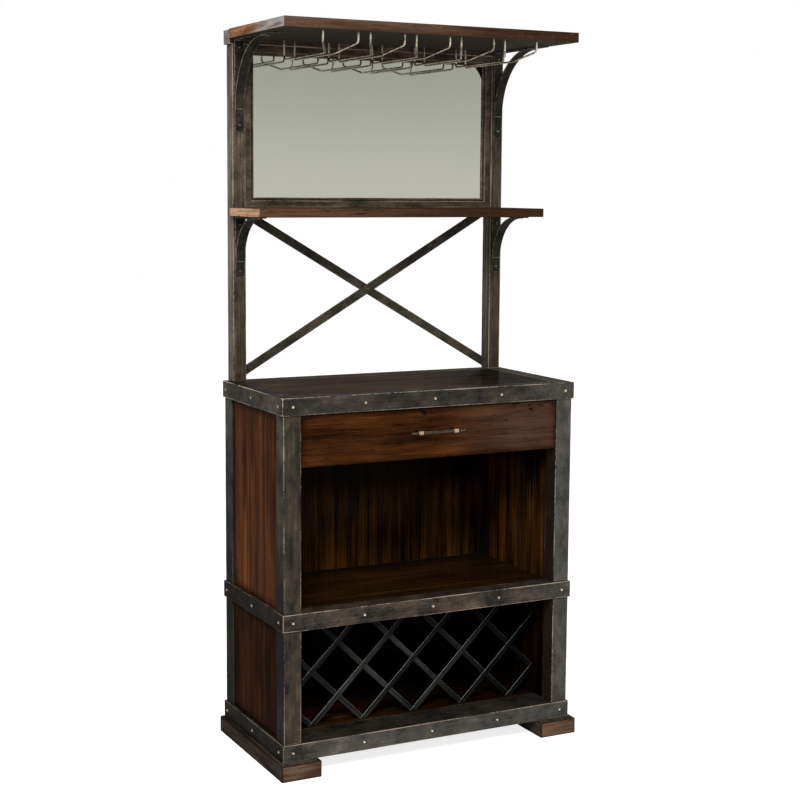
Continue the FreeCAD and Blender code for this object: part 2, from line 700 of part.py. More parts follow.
def bent_wire(points, bend, radius):
    """A round wire along straight runs joined by tangent arcs of one bend radius."""
    edges = []
    start = points[0]
    for before, corner, after in zip(points, points[1:], points[2:]):
        into = (corner - before).normalize()
        out = (after - corner).normalize()
        turn = into.getAngle(out)
        reach = bend * math.tan(turn / 2)
        first = corner - into * reach
        last = corner + out * reach
        middle_way = (out - into).normalize()
        centre = corner + middle_way * (bend / math.cos(turn / 2))
        middle = centre - middle_way * bend
        edges.append(Part.LineSegment(start, first).toShape())
        edges.append(Part.Arc(first, middle, last).toShape())
        start = last
    edges.append(Part.LineSegment(start, points[-1]).toShape())
    path = Part.Wire(edges)
    profile = Part.Wire([Part.makeCircle(radius, points[0], points[1] - points[0])])
    return path.makePipeShell([profile], True, False)


def stemware_wires():
    """Each wire drops from the shelf, slopes back and towards its slot, runs back and rises upright."""
    wires = []
    count = round(size("channels"))
    spread = (size("mount_spread") - size("slot_spread")) / 2
    run = size("wire_run")
    drop = size("wire_drop")
    depth = size("wire_depth")
    for k in range(count):
        for side, sign in (("left", -1), ("right", 1)):
            shift = -sign * spread
            points = [Vector(0, 0, 0), Vector(0, 0, -drop),
                      Vector(shift, size("wire_front_slope"), -depth),
                      Vector(shift, run, -depth), Vector(shift, run, 0)]
            wire = doc.addObject("Part::Feature", f"stem_wire_{k + 1}_{side}")
            wire.Shape = bent_wire(points, size("wire_bend"), size("wire_radius"))
            place(wire, f"({k} - (channels - 1) / 2) * channel_pitch + {sign} * mount_spread / 2",
                  "band_front + wire_front_setback", "top_shelf_base")
            wires.append(wire)
    return group("stem_wires", wires)


keep("stemware_wires", stemware_wires())

doc.recompute()
for item in doc.Objects:
    if "Invalid" in item.State or "Error" in item.State:
        raise RuntimeError(f"{item.Name} did not compute: {item.State}")
for item in nodes:
    if item.Shape.isNull() or not item.Shape.isValid() or not item.Shape.Solids:
        raise RuntimeError(f"{item.Label} has no valid solid")
for item in nodes:
    item.Shape.exportStep(f"parts/{item.Label}.step")
    box_now = item.Shape.BoundBox
    print(f"{item.Label:26s} {len(item.Shape.Solids):3d} solids  {item.Shape.Volume / 1000:10.1f} cm3  "
          f"x {box_now.XMin:7.1f} {box_now.XMax:7.1f}  y {box_now.YMin:7.1f} {box_now.YMax:7.1f}  "
          f"z {box_now.ZMin:7.1f} {box_now.ZMax:7.1f}")
print(len(nodes), "nodes")
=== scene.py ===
"""Looks of the drinks cabinet: its boards, bands, bars, wires and rivets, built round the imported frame."""
import bmesh
import bpy
import math
import random
from mathutils import Matrix, Vector, noise


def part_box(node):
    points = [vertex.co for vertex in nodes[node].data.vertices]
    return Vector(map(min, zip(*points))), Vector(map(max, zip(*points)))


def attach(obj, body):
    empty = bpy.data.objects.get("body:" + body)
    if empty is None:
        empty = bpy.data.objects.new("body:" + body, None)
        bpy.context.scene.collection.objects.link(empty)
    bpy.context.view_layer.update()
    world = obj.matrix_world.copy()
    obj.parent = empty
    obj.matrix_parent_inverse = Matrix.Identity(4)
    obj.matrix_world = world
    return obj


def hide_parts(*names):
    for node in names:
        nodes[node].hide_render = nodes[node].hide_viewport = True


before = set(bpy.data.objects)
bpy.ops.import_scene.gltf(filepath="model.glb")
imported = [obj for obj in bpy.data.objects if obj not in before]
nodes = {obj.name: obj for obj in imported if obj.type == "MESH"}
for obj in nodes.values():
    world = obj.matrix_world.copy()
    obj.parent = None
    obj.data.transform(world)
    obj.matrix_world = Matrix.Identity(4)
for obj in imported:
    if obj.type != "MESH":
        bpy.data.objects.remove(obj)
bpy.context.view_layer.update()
SEED = 4
chance = random.Random(SEED)
MM = 0.001
X = Vector((1, 0, 0))
Y = Vector((0, 1, 0))
Z = Vector((0, 0, 1))
BASES = {"x": (X, Y, Z), "y": (Y, X, Z), "z": (Z, X, Y)}
RIGHT, LEFT = (1, 0, 0), (-1, 0, 0)
BACK, FRONT = (0, 1, 0), (0, -1, 0)
UP, DOWN = (0, 0, 1), (0, 0, -1)

# How much each kind of piece is softened, in millimetres: width of its rounded edge, width of the worn ring
# beside it, how far the worn edge wanders inwards, and the spacing of the cuts that let it wander
SOFTNESS = {
    "band": (1.3, 2.6, 0.6, 20),
    "post": (1.3, 2.6, 0.6, 20),
    "plank": (0.6, 2.0, 0.25, 30),
    "deck": (0.35, 1.6, 0.1, 60),
    "shelf": (1.4, 2.6, 0.8, 16),
    "runner": (1.8, 3.6, 0.9, 16),
    "drawer": (1.4, 3.0, 0.5, 20),
    "slat": (0.9, 1.6, 0.4, 18),
    "bar": (0.5, 1.0, 0.15, 25),
    "bracket": (0.6, 1.2, 0.1, 400),
    "box": (0.8, 1.8, 0.1, 60),
}
# Spacing of the bumps along a wandering edge
WANDER_LENGTH = 26 * MM
# Points that are closer than this count as one
WELD = 0.01 * MM
# Faces that turn by less than FLAT count as one, and edges that turn by more than SHARP are rounded
FLAT = math.radians(1)
SHARP = math.radians(28)
# A mitre's face leans towards both of its members by more than this
MITRE_LEAN = 0.2
# How far each board's grain is moved by chance, in metres
GRAIN_SHIFT = 9
# Number of planks in each kind of panel, and how much their widths differ
PLANKS = {"deck": 4, "side": 6, "back": 13}
WIDTH_SPREAD = 0.22
# Width of the darker band along the borders of the side panels and of the drawer's front
SIDE_DARK_BORDER = 34 * MM
DRAWER_DARK_BORDER = 13 * MM
# Slope of the lattice's slats, as a rise over a run
SLAT_RISE = 157.0
SLAT_RUN = 160.4

# Turned heads: number of sides and of steps up the dome, the rise of the foot and of the flange as shares
# of the head's rise with their wear, and a screw's dimple as (share of the radius, share of the rise, wear)
HEAD_SIDES = 16
DOME_STEPS = 5
FOOT_RISE, FOOT_WEAR = 0.10, 0.05
FLANGE_RISE, FLANGE_WEAR = 0.17, 0.15
DOME_FOOT_WEAR = 0.25
DIMPLE = ((0.22, 0.97, 0.9), (0.16, 0.75, 0.0), (0.0, 0.72, 0.0))

# Turned parts of the pull, as (share of the radius, share of the length); the tip's lengths are shares of
# the rod's radius, and the grip narrows from its eased shoulder to its waist
ROD_RADIUS = 4.0 * MM
SHOULDER = 1.2 * MM
EASED = 0.93
WAIST = 0.90
PULL_SIDES = 28
STEM_SIDES = 24
TIP = ((0.0, 0.0), (0.55, 0.15), (0.88, 0.5), (1.0, 1.1))
BEADS = ((EASED, 0.0), (1.0, 0.07), (1.0, 0.38), (0.90, 0.44), (0.90, 0.56), (1.0, 0.62), (1.0, 0.93),
         (EASED, 1.0))
STEM = ((0.0, 0.0), (1.5, 0.0), (1.5, 0.05), (1.2, 0.12), (1.0, 0.24), (0.9, 0.6), (1.0, 1.0), (0.0, 1.0))

# Places between which the paints, stains and painted light and shade change, in metres from the middle of the
# object's foot.
# Rightwards:
# Where the painted sheen turns the paint grey
SHEEN_END = (0.25, 0.44)
DARK_END = (0.30, 0.41)
RIGHT_HALF = (0.1, 0.2)
OUTER_FACE = (0.444, 0.450)
# Backwards:
BAY_DEPTH = (0.05, 0.15)
BACK_FACE = (0.208, 0.214)
# Forwards, along a shelf's end:
END_CHANGE = (-0.03, 0.08)
# Upwards:
LOW_STOREY_TOP = (0.52, 0.62)
COUNTER_FOOT = (0.85, 0.91)
BAY_TOP = (0.95, 0.99)
MIRROR_HEIGHT = (1.57, 1.99)
# Outwards to both sides, squared:
SIDE_FACES_SQUARED = (0.196, 0.200)

# The floor, its own glow that makes it white, the light on the object from all round, and the lamps, each
# with its name, its place and its power in watts
FLOOR_HALF = 14.0
FLOOR_WHITE = (0.84, 0.84, 0.84)
FLOOR_GLOW = 0.80
WORLD_LEVEL = 0.30
LAMPS = (("key", (-2.6, -3.9, 4.4), 235), ("fill", (4.4, -2.6, 3.0), 90))
LAMP_WIDTH = 2.2
LAMP_TARGET = (0, 0, 1.0)


class Paint:
    """A material in the making: each method adds a node and returns its output."""

    def __init__(self, name):
        self.material = bpy.data.materials.new(name)
        self.material.use_nodes = True
        self.tree = self.material.node_tree
        self.shader = self.tree.nodes["Principled BSDF"]

    def put(self, value, socket):
        """Links an output to the socket, or gives the socket a number or a colour."""
        if isinstance(value, bpy.types.NodeSocket):
            self.tree.links.new(value, socket)
        else:
            if socket.type == "RGBA" and len(value) == 3:
                value = (*value, 1.0)
            socket.default_value = value

    def set(self, **values):
        """Shader inputs by name, with underscores for blanks."""
        for name, value in values.items():
            self.put(value, self.shader.inputs[name.replace("_", " ")])
        return self.material

    def add(self, kind, inputs=None, **settings):
        """A new node with its settings, and with values for inputs by place or by name."""
        node = self.tree.nodes.new("ShaderNode" + kind)
        for name, value in settings.items():
            setattr(node, name, value)
        for socket, value in (inputs or {}).items():
            self.put(value, node.inputs[socket])
        return node

    def attribute(self, name, output="Fac"):
        """What the mesh holds under that name for each of its points."""
        return self.add("Attribute", attribute_name=name).outputs[output]

    def scaled(self, vector, stretch):
        """The vector with each of its coordinates multiplied."""
        return self.add("VectorMath", {0: vector, 1: stretch}, operation="MULTIPLY").outputs[0]

    def grain(self, stretch=(1, 1, 1)):
        """The board's own coordinates, along the grain first, each scaled."""
        return self.scaled(self.attribute("grain", "Vector"), stretch)

    def places(self, stretch=(1, 1, 1)):
        """The object's own coordinates, each scaled."""
        return self.scaled(self.add("TexCoord").outputs["Object"], stretch)

    def dot(self, vector, direction):
        """How far the vector reaches along the direction."""
        return self.add("VectorMath", {0: vector, 1: direction}, operation="DOT_PRODUCT").outputs["Value"]

    def facing(self, direction, low=0.55, high=0.8):
        """1 where the surface faces along the direction, in the object's own space."""
        return self.span(self.dot(self.add("TexCoord").outputs["Normal"], direction), low, high)

    def along(self, direction):
        """How far each point lies along the direction, in metres."""
        return self.dot(self.places(), direction)

    def noise(self, vector, scale, detail=3.0, roughness=0.55, distortion=0.0):
        """Clouds from 0 to 1, about as many to the metre as the scale says."""
        return self.add("TexNoise", {"Vector": vector, "Scale": scale, "Detail": detail,
                                     "Roughness": roughness, "Distortion": distortion}).outputs["Fac"]

    def ramp(self, value, *stops):
        """A colour that runs through the stops, each (value, colour)."""
        node = self.add("ValToRGB", {0: value})
        elements = node.color_ramp.elements
        while len(elements) < len(stops):
            elements.new(1.0)
        for element, (position, colour) in zip(elements, stops):
            element.position = position
            element.color = (*colour, 1.0)
        return node.outputs["Color"]

    def span(self, value, low, high, to_low=0.0, to_high=1.0):
        """The value's place between low and high, eased and held within them."""
        return self.add("MapRange", {0: value, 1: low, 2: high, 3: to_low, 4: to_high},
                        interpolation_type="SMOOTHSTEP").outputs[0]

    def sum(self, *terms):
        """The weighted sum of (output, weight) pairs."""
        total = 0.0
        for value, weight in terms:
            total = self.add("Math", {0: value, 1: weight, 2: total}, operation="MULTIPLY_ADD").outputs[0]
        return total

    def tone(self, gain, *terms):
        """The weighted sum of noises, with its spread about one half raised by the gain."""
        weight = sum(term[1] for term in terms)
        return self.sum((self.sum(*terms), gain), (1.0, 0.5 - 0.5 * gain * weight))

    def times(self, a, b):
        """The product of two outputs, or of an output and a number."""
        return self.add("Math", {0: a, 1: b}, operation="MULTIPLY").outputs[0]

    def mix(self, share, a, b, blend="MIX"):
        """The first colour where the share is 0, and the second one where it is 1."""
        return self.add("Mix", {0: share, 6: a, 7: b}, data_type="RGBA", blend_type=blend).outputs[2]

    def bump(self, height, depth, strength=1.0):
        """The surface's normal as the height tilts it; the depth is the height's whole range, in metres."""
        return self.add("Bump", {"Strength": strength, "Distance": depth, "Height": height}).outputs[0]


def seen_rays(tree):
    """A socket that is 1 for camera, glossy and transmission rays."""
    paths = tree.nodes.new("ShaderNodeLightPath")
    pick = None
    for name in ("Is Camera Ray", "Is Glossy Ray", "Is Transmission Ray"):
        node = tree.nodes.new("ShaderNodeMath")
        node.operation = "MAXIMUM"
        tree.links.new(paths.outputs[name], node.inputs[0])
        if pick is None:
            node.inputs[1].default_value = 0.0
        else:
            tree.links.new(pick, node.inputs[1])
        pick = node.outputs[0]
    return pick


def darker(colour, share):
    """The colour with each channel multiplied, so that a share above 1 makes it brighter."""
    return tuple(share * channel for channel in colour)


def levels(colours, share):
    """All colours of a stain, each darker or brighter by the share."""
    return [darker(colour, share) for colour in colours]


def painted_sheen(p, colour, share, speckle, clouds):
    """Painted sheen: the paint turned to a lighter, speckled grey towards the right-hand end."""
    grey = p.ramp(p.tone(3.0, (speckle, 0.6), (clouds, 0.4)), (0.25, (0.042, 0.040, 0.036)),
                  (0.5, (0.068, 0.066, 0.061)), (0.8, (0.125, 0.120, 0.110)))
    return p.mix(p.span(p.along(RIGHT), *SHEEN_END, 0.0, share), colour, grey)


def lit_left_faces(p, colour, side, clouds, patches):
    """Painted light: a lighter colour, in streaks along the board, on the faces that look left."""
    streaks = p.noise(p.grain((1.4, 190.0, 190.0)), 1.0, 3.0, 0.6)
    lit_side_tone = p.tone(2.8, (streaks, 0.55), (clouds, 0.25), (patches, 0.20))
    lit_side_colour = p.ramp(lit_side_tone, (0.25, darker(side, 0.42)), (0.52, darker(side, 0.95)),
                         (0.78, darker(side, 1.9)))
    return p.mix(p.facing(LEFT), colour, lit_side_colour)


def faded(p, colour, shadow, low, high, share, right_share):
    """Painted shade: darker towards the foot of the hutch, and towards its right-hand end."""
    colour = p.mix(p.span(p.along(UP), low, high, 1.0 - share, 0.0), colour, shadow)
    return p.mix(p.span(p.along(RIGHT), *DARK_END, 0.0, right_share), colour, shadow)


def shaded_reveals(p, colour, stain):
    """Painted shade where the right-hand posts and borders look left, into the cabinet."""
    looks_in = p.times(p.facing(LEFT), p.span(p.along(RIGHT), *RIGHT_HALF))
    not_outer = p.span(p.along(RIGHT), *OUTER_FACE, 1.0, 0.0)
    return p.mix(p.times(p.times(looks_in, not_outer), 0.85), colour, stain)


def shaded_within(p, colour, stain):
    """Painted shade all over where the piece stands inside the cabinet, towards its back."""
    depth = p.along(BACK)
    across = p.along(RIGHT)
    in_depth = p.times(p.span(depth, *BAY_DEPTH), p.span(depth, *BACK_FACE, 1.0, 0.0))
    in_width = p.span(p.times(across, across), *SIDE_FACES_SQUARED, 1.0, 0.0)
    in_height = p.span(p.along(UP), *BAY_TOP, 1.0, 0.0)
    within = p.times(in_depth, p.times(in_width, in_height))
    return p.mix(p.times(within, 0.96), colour, stain)


def lit_and_shaded_sides(p, colour, low_storey, counter):
    """Painted light and shade on the outer faces that look sideways, darker or lighter in the low storey and
    on the counter's band.
    """
    across = p.along(RIGHT)
    sideways = p.times(p.sum((p.facing(LEFT), 1.0), (p.facing(RIGHT), 1.0)),
                       p.span(p.times(across, across), *SIDE_FACES_SQUARED))
    height = p.along(UP)
    places = (p.span(height, *LOW_STOREY_TOP, 1.0, 0.0), p.span(height, *COUNTER_FOOT))
    for factor, place in zip((low_storey, counter), places):
        colour = p.mix(p.times(sideways, place), colour, (factor, factor, factor), "MULTIPLY")
    return colour


def iron_paint(name, dark, mid, brown, pale, worn, shine=0.42, coat=0.08, rubbed=0.85, side=None, fade=None,
               sheen_right=0.0, inside_shade=None, side_light_levels=None, top=1.0, streaky=0.18, gain=3.3, edges=2.16):
    """Iron-look paint: smoky patches, smears along the board, fine speckle, edges rubbed to tan.

    sheen_right is how far the paint turns grey towards the right-hand end, as a painted sheen;
    side is the lighter colour of the faces that look left, as painted light;
    fade is (lowest place, highest place, share left at the foot, share of the shadow at the right-hand end);
    inside_shade is the painted shade on what is turned into the cabinet or stands in it;
    side_light_levels is the brightness of the outer side faces, (in the low storey, on the counter's band),
    as painted light and shade;
    top is the brightness of the faces that look up, as painted shade, streaky the share of the smears, gain
    how far light and dark patches stand apart, rubbed how far the worn edges show, and edges how much wear
    they need for it.
    """
    p = Paint(name)
    where = p.grain()
    patches = p.noise(where, 9.0, 3.0, 0.55)
    clouds = p.noise(p.grain((22.0, 34.0, 34.0)), 1.0, 4.0, 0.6)
    smears = p.noise(p.grain((7.0, 150.0, 150.0)), 1.0, 3.0, 0.6)
    speckle = p.noise(where, 330.0, 3.0, 0.65)
    tone = p.tone(gain, (patches, 0.52 - streaky), (clouds, 0.30), (smears, streaky), (speckle, 0.18))
    colour = p.ramp(tone, (0.24, dark), (0.46, mid), (0.64, brown), (0.86, pale))
    # Painted sheen: a speckled grey towards the right-hand end
    if sheen_right:
        colour = painted_sheen(p, colour, sheen_right, speckle, clouds)
    flecks = p.span(p.noise(where, 260.0, 4.0, 0.75), 0.61, 0.70)
    fleck_places = p.span(p.noise(where, 14.0, 3.0, 0.6), 0.46, 0.62)
    colour = p.mix(p.times(p.times(flecks, fleck_places), 0.5), colour, worn)
    # Painted light on the faces that look left
    if side:
        colour = lit_left_faces(p, colour, side, clouds, patches)
    # Painted shade towards the foot and the right-hand end
    if fade:
        colour = faded(p, colour, darker(dark, 0.9), *fade)
    # Painted shade on the faces turned into the cabinet
    if inside_shade:
        colour = shaded_reveals(p, colour, inside_shade)
    # Painted shade on the faces that look up
    if top < 1.0:
        colour = p.mix(p.facing(UP), colour, (top, 0.93 * top, 0.86 * top), "MULTIPLY")
    broken = p.noise(where, 110.0, 4.0, 0.7)
    rubs = p.noise(where, 7.0, 2.0, 0.5)
    edge = p.span(p.sum((p.attribute("wear"), 1.0), (broken, 1.2), (rubs, 1.7)), edges, edges + 0.42)
    colour = p.mix(p.times(edge, rubbed), colour, worn)
    # Painted shade on what stands inside the cabinet
    if inside_shade:
        colour = shaded_within(p, colour, inside_shade)
    # Painted shade in the low storey and painted light on the counter's band, on the outer side faces
    if side_light_levels:
        colour = lit_and_shaded_sides(p, colour, *side_light_levels)
    relief = p.bump(p.sum((speckle, 0.7), (clouds, 0.7), (smears, 0.4)), 0.3 * MM, 0.8)
    roughness = p.span(tone, 0.3, 0.7, shine + 0.1, shine - 0.06)
    p.set(Specular_IOR_Level=0.0, Coat_Weight=coat, Coat_Roughness=0.32, Coat_Normal=relief)
    return p.set(Base_Color=colour, Roughness=roughness, Normal=relief)


def lit_and_shaded_right(p, colour, tone, first, last, share, tint):
    """Painted light and shade: another colour with the same figure towards the right-hand end."""
    place = p.span(p.along(RIGHT), first, last, 0.0, share)
    # This colour is the painted light and shade, in the same figure as the wood
    stain = p.ramp(tone, (0.2, darker(tint, 0.45)), (0.5, tint), (0.85, darker(tint, 1.7)))
    return p.mix(place, colour, stain)


def end_grain_and_light(p, colour, clouds, way, back, front):
    """A board's end: its end grain, with painted light on the shelves' left ends; its colour runs from back
    to front, over fine level rows.
    """
    rows = p.tone(3.0, (p.noise(p.places((7.0, 7.0, 130.0)), 1.0, 4.0, 0.6, 0.3), 0.6), (clouds, 0.4))
    tint = p.mix(p.span(p.along(FRONT), *END_CHANGE), back, front)
    shadow = p.mix(1.0, tint, (0.42, 0.38, 0.34), "MULTIPLY")
    tint = p.mix(p.span(rows, 0.2, 0.75), shadow, tint)
    return p.mix(p.times(p.facing(way), 0.95), colour, tint)


def scratched(p, colour, share, tick_colour):
    """Short scratches across the grain, fewer on the faces that look up."""
    scratches = p.span(p.noise(p.grain((330.0, 70.0, 70.0)), 1.0, 2.0, 0.6), 0.665, 0.74)
    away_from_top = p.sum((p.facing(UP), -0.7 * share), (1.0, share))
    return p.mix(p.times(scratches, away_from_top), colour, tick_colour)


def shaded_upwards(p, colour, first, last, share):
    """Painted shade, in black, that gathers upwards, but not on the faces that look backwards."""
    not_behind = p.sum((p.facing(BACK), -1.0), (1.0, 1.0))
    place = p.times(p.span(p.along(UP), first, last, 0.0, share), not_behind)
    return p.mix(place, colour, (0.001, 0.0008, 0.0006))


def wood(name, dark, middle, light, accent, worn, shine=0.42, coat=0.04, gloss=0.2, grain=(1.3, 45.0, 150.0),
         gain=2.6, knots=0.0, worn_share=0.5, border_darkness=0.0, ticks=None, ends=None, turned=None, right=None,
         edges=1.96, lit=None, shaded=None):
    """Stained wood: streaks of colour, fine pores along the grain, dark distress marks and worn edges.

    grain is how many streaks a metre holds: along the board, and the wide and the fine ones across it;
    right is (first place, last place, share, colour) of painted light and shade towards the right-hand end;
    ends is (way the face looks, colour at its back, colour at its front) of an end's grain, with painted
    light on the shelves' left ends;
    turned is (way the face looks, share, colour) of another colour on that face: painted shade on the
    shelves' undersides and the rising slats' upper faces, and the back panels' own colour on their outer
    faces;
    ticks is (share, colour) of fine scratches;
    border_darkness is how dark a panel's borders are, and gain how far light and dark streaks stand apart;
    shaded is (lowest place, highest place, share) of the painted shade, in black, that gathers upwards;
    lit is the way that the edges face which get the worn colour as a painted highlight, where not all edges
    are worn;
    worn_share is how far the worn edges show, and edges how much wear they need for it.
    """
    p = Paint(name)
    length, wide, fine = grain
    bands = p.noise(p.grain((length, wide, wide)), 1.0, 3.0, 0.55, 0.3)
    figure = p.noise(p.grain((length * 3.2, fine, fine)), 1.0, 4.0, 0.62, 0.3)
    pores = p.noise(p.grain((28.0, 900.0, 900.0)), 1.0, 3.0, 0.6)
    clouds = p.noise(p.grain((5.0, 8.0, 8.0)), 1.0, 3.0, 0.5)
    marks = p.span(p.noise(p.grain((11.0, 38.0, 38.0)), 1.0, 5.0, 0.74, 0.8), 0.585, 0.68)
    tone = p.tone(gain, (bands, 0.34), (figure, 0.30), (pores, 0.10), (clouds, 0.26))
    colour = p.ramp(tone, (0.22, dark), (0.46, middle), (0.68, light), (0.90, accent))
    # Painted light and shade towards the right-hand end
    if right:
        colour = lit_and_shaded_right(p, colour, tone, *right)
    # End grain, with painted light on the ends that look left
    if ends:
        colour = end_grain_and_light(p, colour, clouds, *ends)
    # Another colour on faces that look one way: painted shade on undersides and slat tops, own colour on back
    # faces
    if turned:
        way, share, tint = turned
        colour = p.mix(p.times(p.facing(way), share), colour, tint)
    colour = p.mix(p.times(p.span(pores, 0.58, 0.70), 0.40), colour, darker(dark, 0.8))
    colour = p.mix(p.times(marks, knots), colour, darker(dark, 0.30))
    if ticks:
        colour = scratched(p, colour, *ticks)
    if border_darkness:
        colour = p.mix(p.span(p.attribute("shade"), 0.0, 1.0, border_darkness, 0.0), colour, darker(dark, 0.45))
    # Painted shade, in black, gathering upwards
    if shaded:
        colour = shaded_upwards(p, colour, *shaded)
    broken = p.noise(p.grain((40.0, 120.0, 120.0)), 1.0, 4.0, 0.7)
    edge = p.span(p.sum((p.attribute("wear"), 1.0), (broken, 1.3), (clouds, 0.9)), edges, edges + 0.44)
    # Where only the edges that face the light get the worn colour, it is a painted highlight
    if lit:
        edge = p.times(edge, p.facing(lit, 0.72, 0.9))
    colour = p.mix(p.times(edge, worn_share), colour, worn)
    relief = p.bump(p.sum((pores, -0.5), (figure, 0.7), (marks, -1.2 * knots)), 0.28 * MM, 0.6)
    roughness = p.sum((figure, 0.16), (1.0, shine - 0.08))
    p.set(Specular_IOR_Level=0.0, Coat_Weight=coat, Coat_Roughness=gloss, Coat_Normal=relief)
    return p.set(Base_Color=colour, Roughness=roughness, Normal=relief)


def dark_metal(name, dark, brown, worn, shine=0.40, coat=0.14, edges=1.34):
    """Painted flat bar with rubbed edges."""
    p = Paint(name)
    where = p.grain()
    clouds = p.noise(where, 24.0, 4.0, 0.6)
    fine = p.noise(where, 160.0, 3.0, 0.6)
    pits = p.noise(where, 600.0, 2.0, 0.6)
    tone = p.tone(2.6, (clouds, 0.6), (fine, 0.4))
    colour = p.ramp(tone, (0.25, darker(dark, 0.6)), (0.48, dark), (0.75, brown))
    broken = p.noise(where, 80.0, 4.0, 0.7)
    edge = p.span(p.sum((p.attribute("wear"), 1.0), (broken, 1.0)), edges, edges + 0.38)
    colour = p.mix(p.times(edge, 0.75), colour, worn)
    relief = p.bump(pits, 0.12 * MM, 0.6)
    roughness = p.sum((clouds, 0.25), (1.0, shine - 0.12))
    p.set(Specular_IOR_Level=0.0, Coat_Weight=coat, Coat_Roughness=0.3, Coat_Normal=relief)
    return p.set(Base_Color=colour, Roughness=roughness, Normal=relief)


def plain_metal(name, colour, tarnish, shine, scale, crown=False):
    """Plated or bare metal; a crowned piece is bright on top and dark round its rim, as tarnish and painted
    shade.
    """
    p = Paint(name)
    clouds = p.noise(p.places(), scale, 4.0, 0.6)
    fine = p.noise(p.places(), scale * 9, 3.0, 0.6)
    # Tarnish and painted shade round the rim of a crowned head
    if crown:
        share = p.span(p.sum((p.attribute("wear"), -1.0), (clouds, 0.9)), -0.68, -0.28)
    else:
        share = p.span(clouds, 0.38, 0.68)
    return p.set(Base_Color=p.mix(share, colour, tarnish), Metallic=1.0,
                 Roughness=p.sum((fine, 0.2), (1.0, shine - 0.1)), Normal=p.bump(fine, 0.08 * MM, 0.5))


def mirror_silver(name):
    """Mirror glass with a faint grey-green cast, darker upwards as painted shade, and a little haze."""
    p = Paint(name)
    haze = p.noise(p.places(), 7.0, 3.0, 0.6)
    # Painted shade: darker towards the top of the mirror
    height = p.span(p.along(UP), *MIRROR_HEIGHT)
    colour = p.mix(height, (0.482, 0.482, 0.414), (0.325, 0.332, 0.280))
    colour = p.mix(p.times(haze, 0.12), colour, (0.52, 0.52, 0.46))
    return p.set(Base_Color=colour, Metallic=1.0, Roughness=p.span(haze, 0.3, 0.7, 0.02, 0.05))


def hardboard(name):
    """Brown pressed board with fine fibres."""
    p = Paint(name)
    fibres = p.noise(p.places(), 320.0, 4.0, 0.7)
    clouds = p.noise(p.places(), 20.0, 3.0, 0.6)
    tone = p.tone(2.2, (fibres, 0.5), (clouds, 0.5))
    colour = p.ramp(tone, (0.25, (0.10, 0.062, 0.036)), (0.75, (0.2, 0.135, 0.08)))
    relief = p.bump(fibres, 0.15 * MM, 0.6)
    return p.set(Base_Color=colour, Roughness=0.75, Specular_IOR_Level=0.1, Normal=relief)


# Iron-look paints: dark, middle, brown and pale, then the tan of worn edges; CABINET and HUTCH are what the
# paints of the low cabinet and of the hutch have in common
TAN = (0.42, 0.34, 0.25)
# CABINET's colour for the inside is painted shade within the cabinet; its side levels are painted light and
# shade
CABINET = {"inside_shade": (0.014, 0.0075, 0.0035), "side_light_levels": (0.20, 1.8), "rubbed": 0.78}
# HUTCH's fade is painted shade towards the foot and the right-hand end
HUTCH = {"fade": (0.8, 1.75, 0.62, 0.45), "streaky": 0.36}
# The bands' tops are darkened as painted shade, and their paint turns grey rightwards as painted sheen
BAND_PAINTS = {
    "bottom": iron_paint("bottom_band_paint", (0.027, 0.0265, 0.0235), (0.068, 0.065, 0.0575),
                         (0.088, 0.079, 0.067), (0.152, 0.140, 0.120), TAN, coat=0.06, sheen_right=0.6,
                         top=0.32, **CABINET),
    "middle": iron_paint("middle_band_paint", (0.018, 0.0170, 0.014), (0.049, 0.0415, 0.033),
                         (0.086, 0.0595, 0.0415), (0.135, 0.113, 0.0875), TAN, coat=0.06, sheen_right=0.6,
                         top=0.6, **CABINET),
    "counter": iron_paint("counter_band_paint", (0.013, 0.0125, 0.010), (0.0315, 0.0285, 0.023),
                          (0.046, 0.0385, 0.0285), (0.089, 0.076, 0.058), TAN, sheen_right=0.6,
                          top=0.85, **CABINET),
}
# The front posts turn grey towards the right-hand end as painted sheen
POST_PAINT = iron_paint("post_paint", (0.015, 0.0135, 0.010), (0.041, 0.034, 0.025), (0.065, 0.048, 0.032),
                        (0.115, 0.092, 0.067), TAN, sheen_right=0.75, edges=2.26, **CABINET)
BACK_POST_PAINT = iron_paint("back_post_paint", (0.014, 0.0145, 0.014), (0.034, 0.033, 0.030),
                             (0.052, 0.045, 0.036), (0.095, 0.084, 0.068), TAN, edges=2.5, **CABINET)
# The side colours here and below are painted light on the faces that look left
UPRIGHT_PAINT = iron_paint("upright_paint", (0.028, 0.022, 0.015), (0.068, 0.052, 0.035),
                           (0.104, 0.078, 0.054), (0.16, 0.13, 0.095), TAN,
                           side=(0.175, 0.155, 0.122), **HUTCH)
CAP_PAINT = iron_paint("cap_paint", (0.024, 0.018, 0.011), (0.056, 0.041, 0.025), (0.085, 0.060, 0.038),
                       (0.15, 0.12, 0.085), TAN, side=(0.28, 0.25, 0.235), **HUTCH)
MIRROR_PAINT = iron_paint("mirror_frame_paint", (0.026, 0.019, 0.012), (0.056, 0.041, 0.027),
                          (0.080, 0.060, 0.040), (0.14, 0.11, 0.085), TAN, rubbed=0.6,
                          side=(0.22, 0.21, 0.185))

# Stains: dark, middle, light and accent, then the colour of worn edges; OUTER_BACK is the stain on the back
# panels' outer faces, and SLAT_TOP_SHADE the painted shade, in black, that gathers up the front lattice's
# slats
REDDISH = ((0.026, 0.0076, 0.0024), (0.070, 0.0220, 0.0066), (0.132, 0.0420, 0.0112), (0.225, 0.0780, 0.0185))
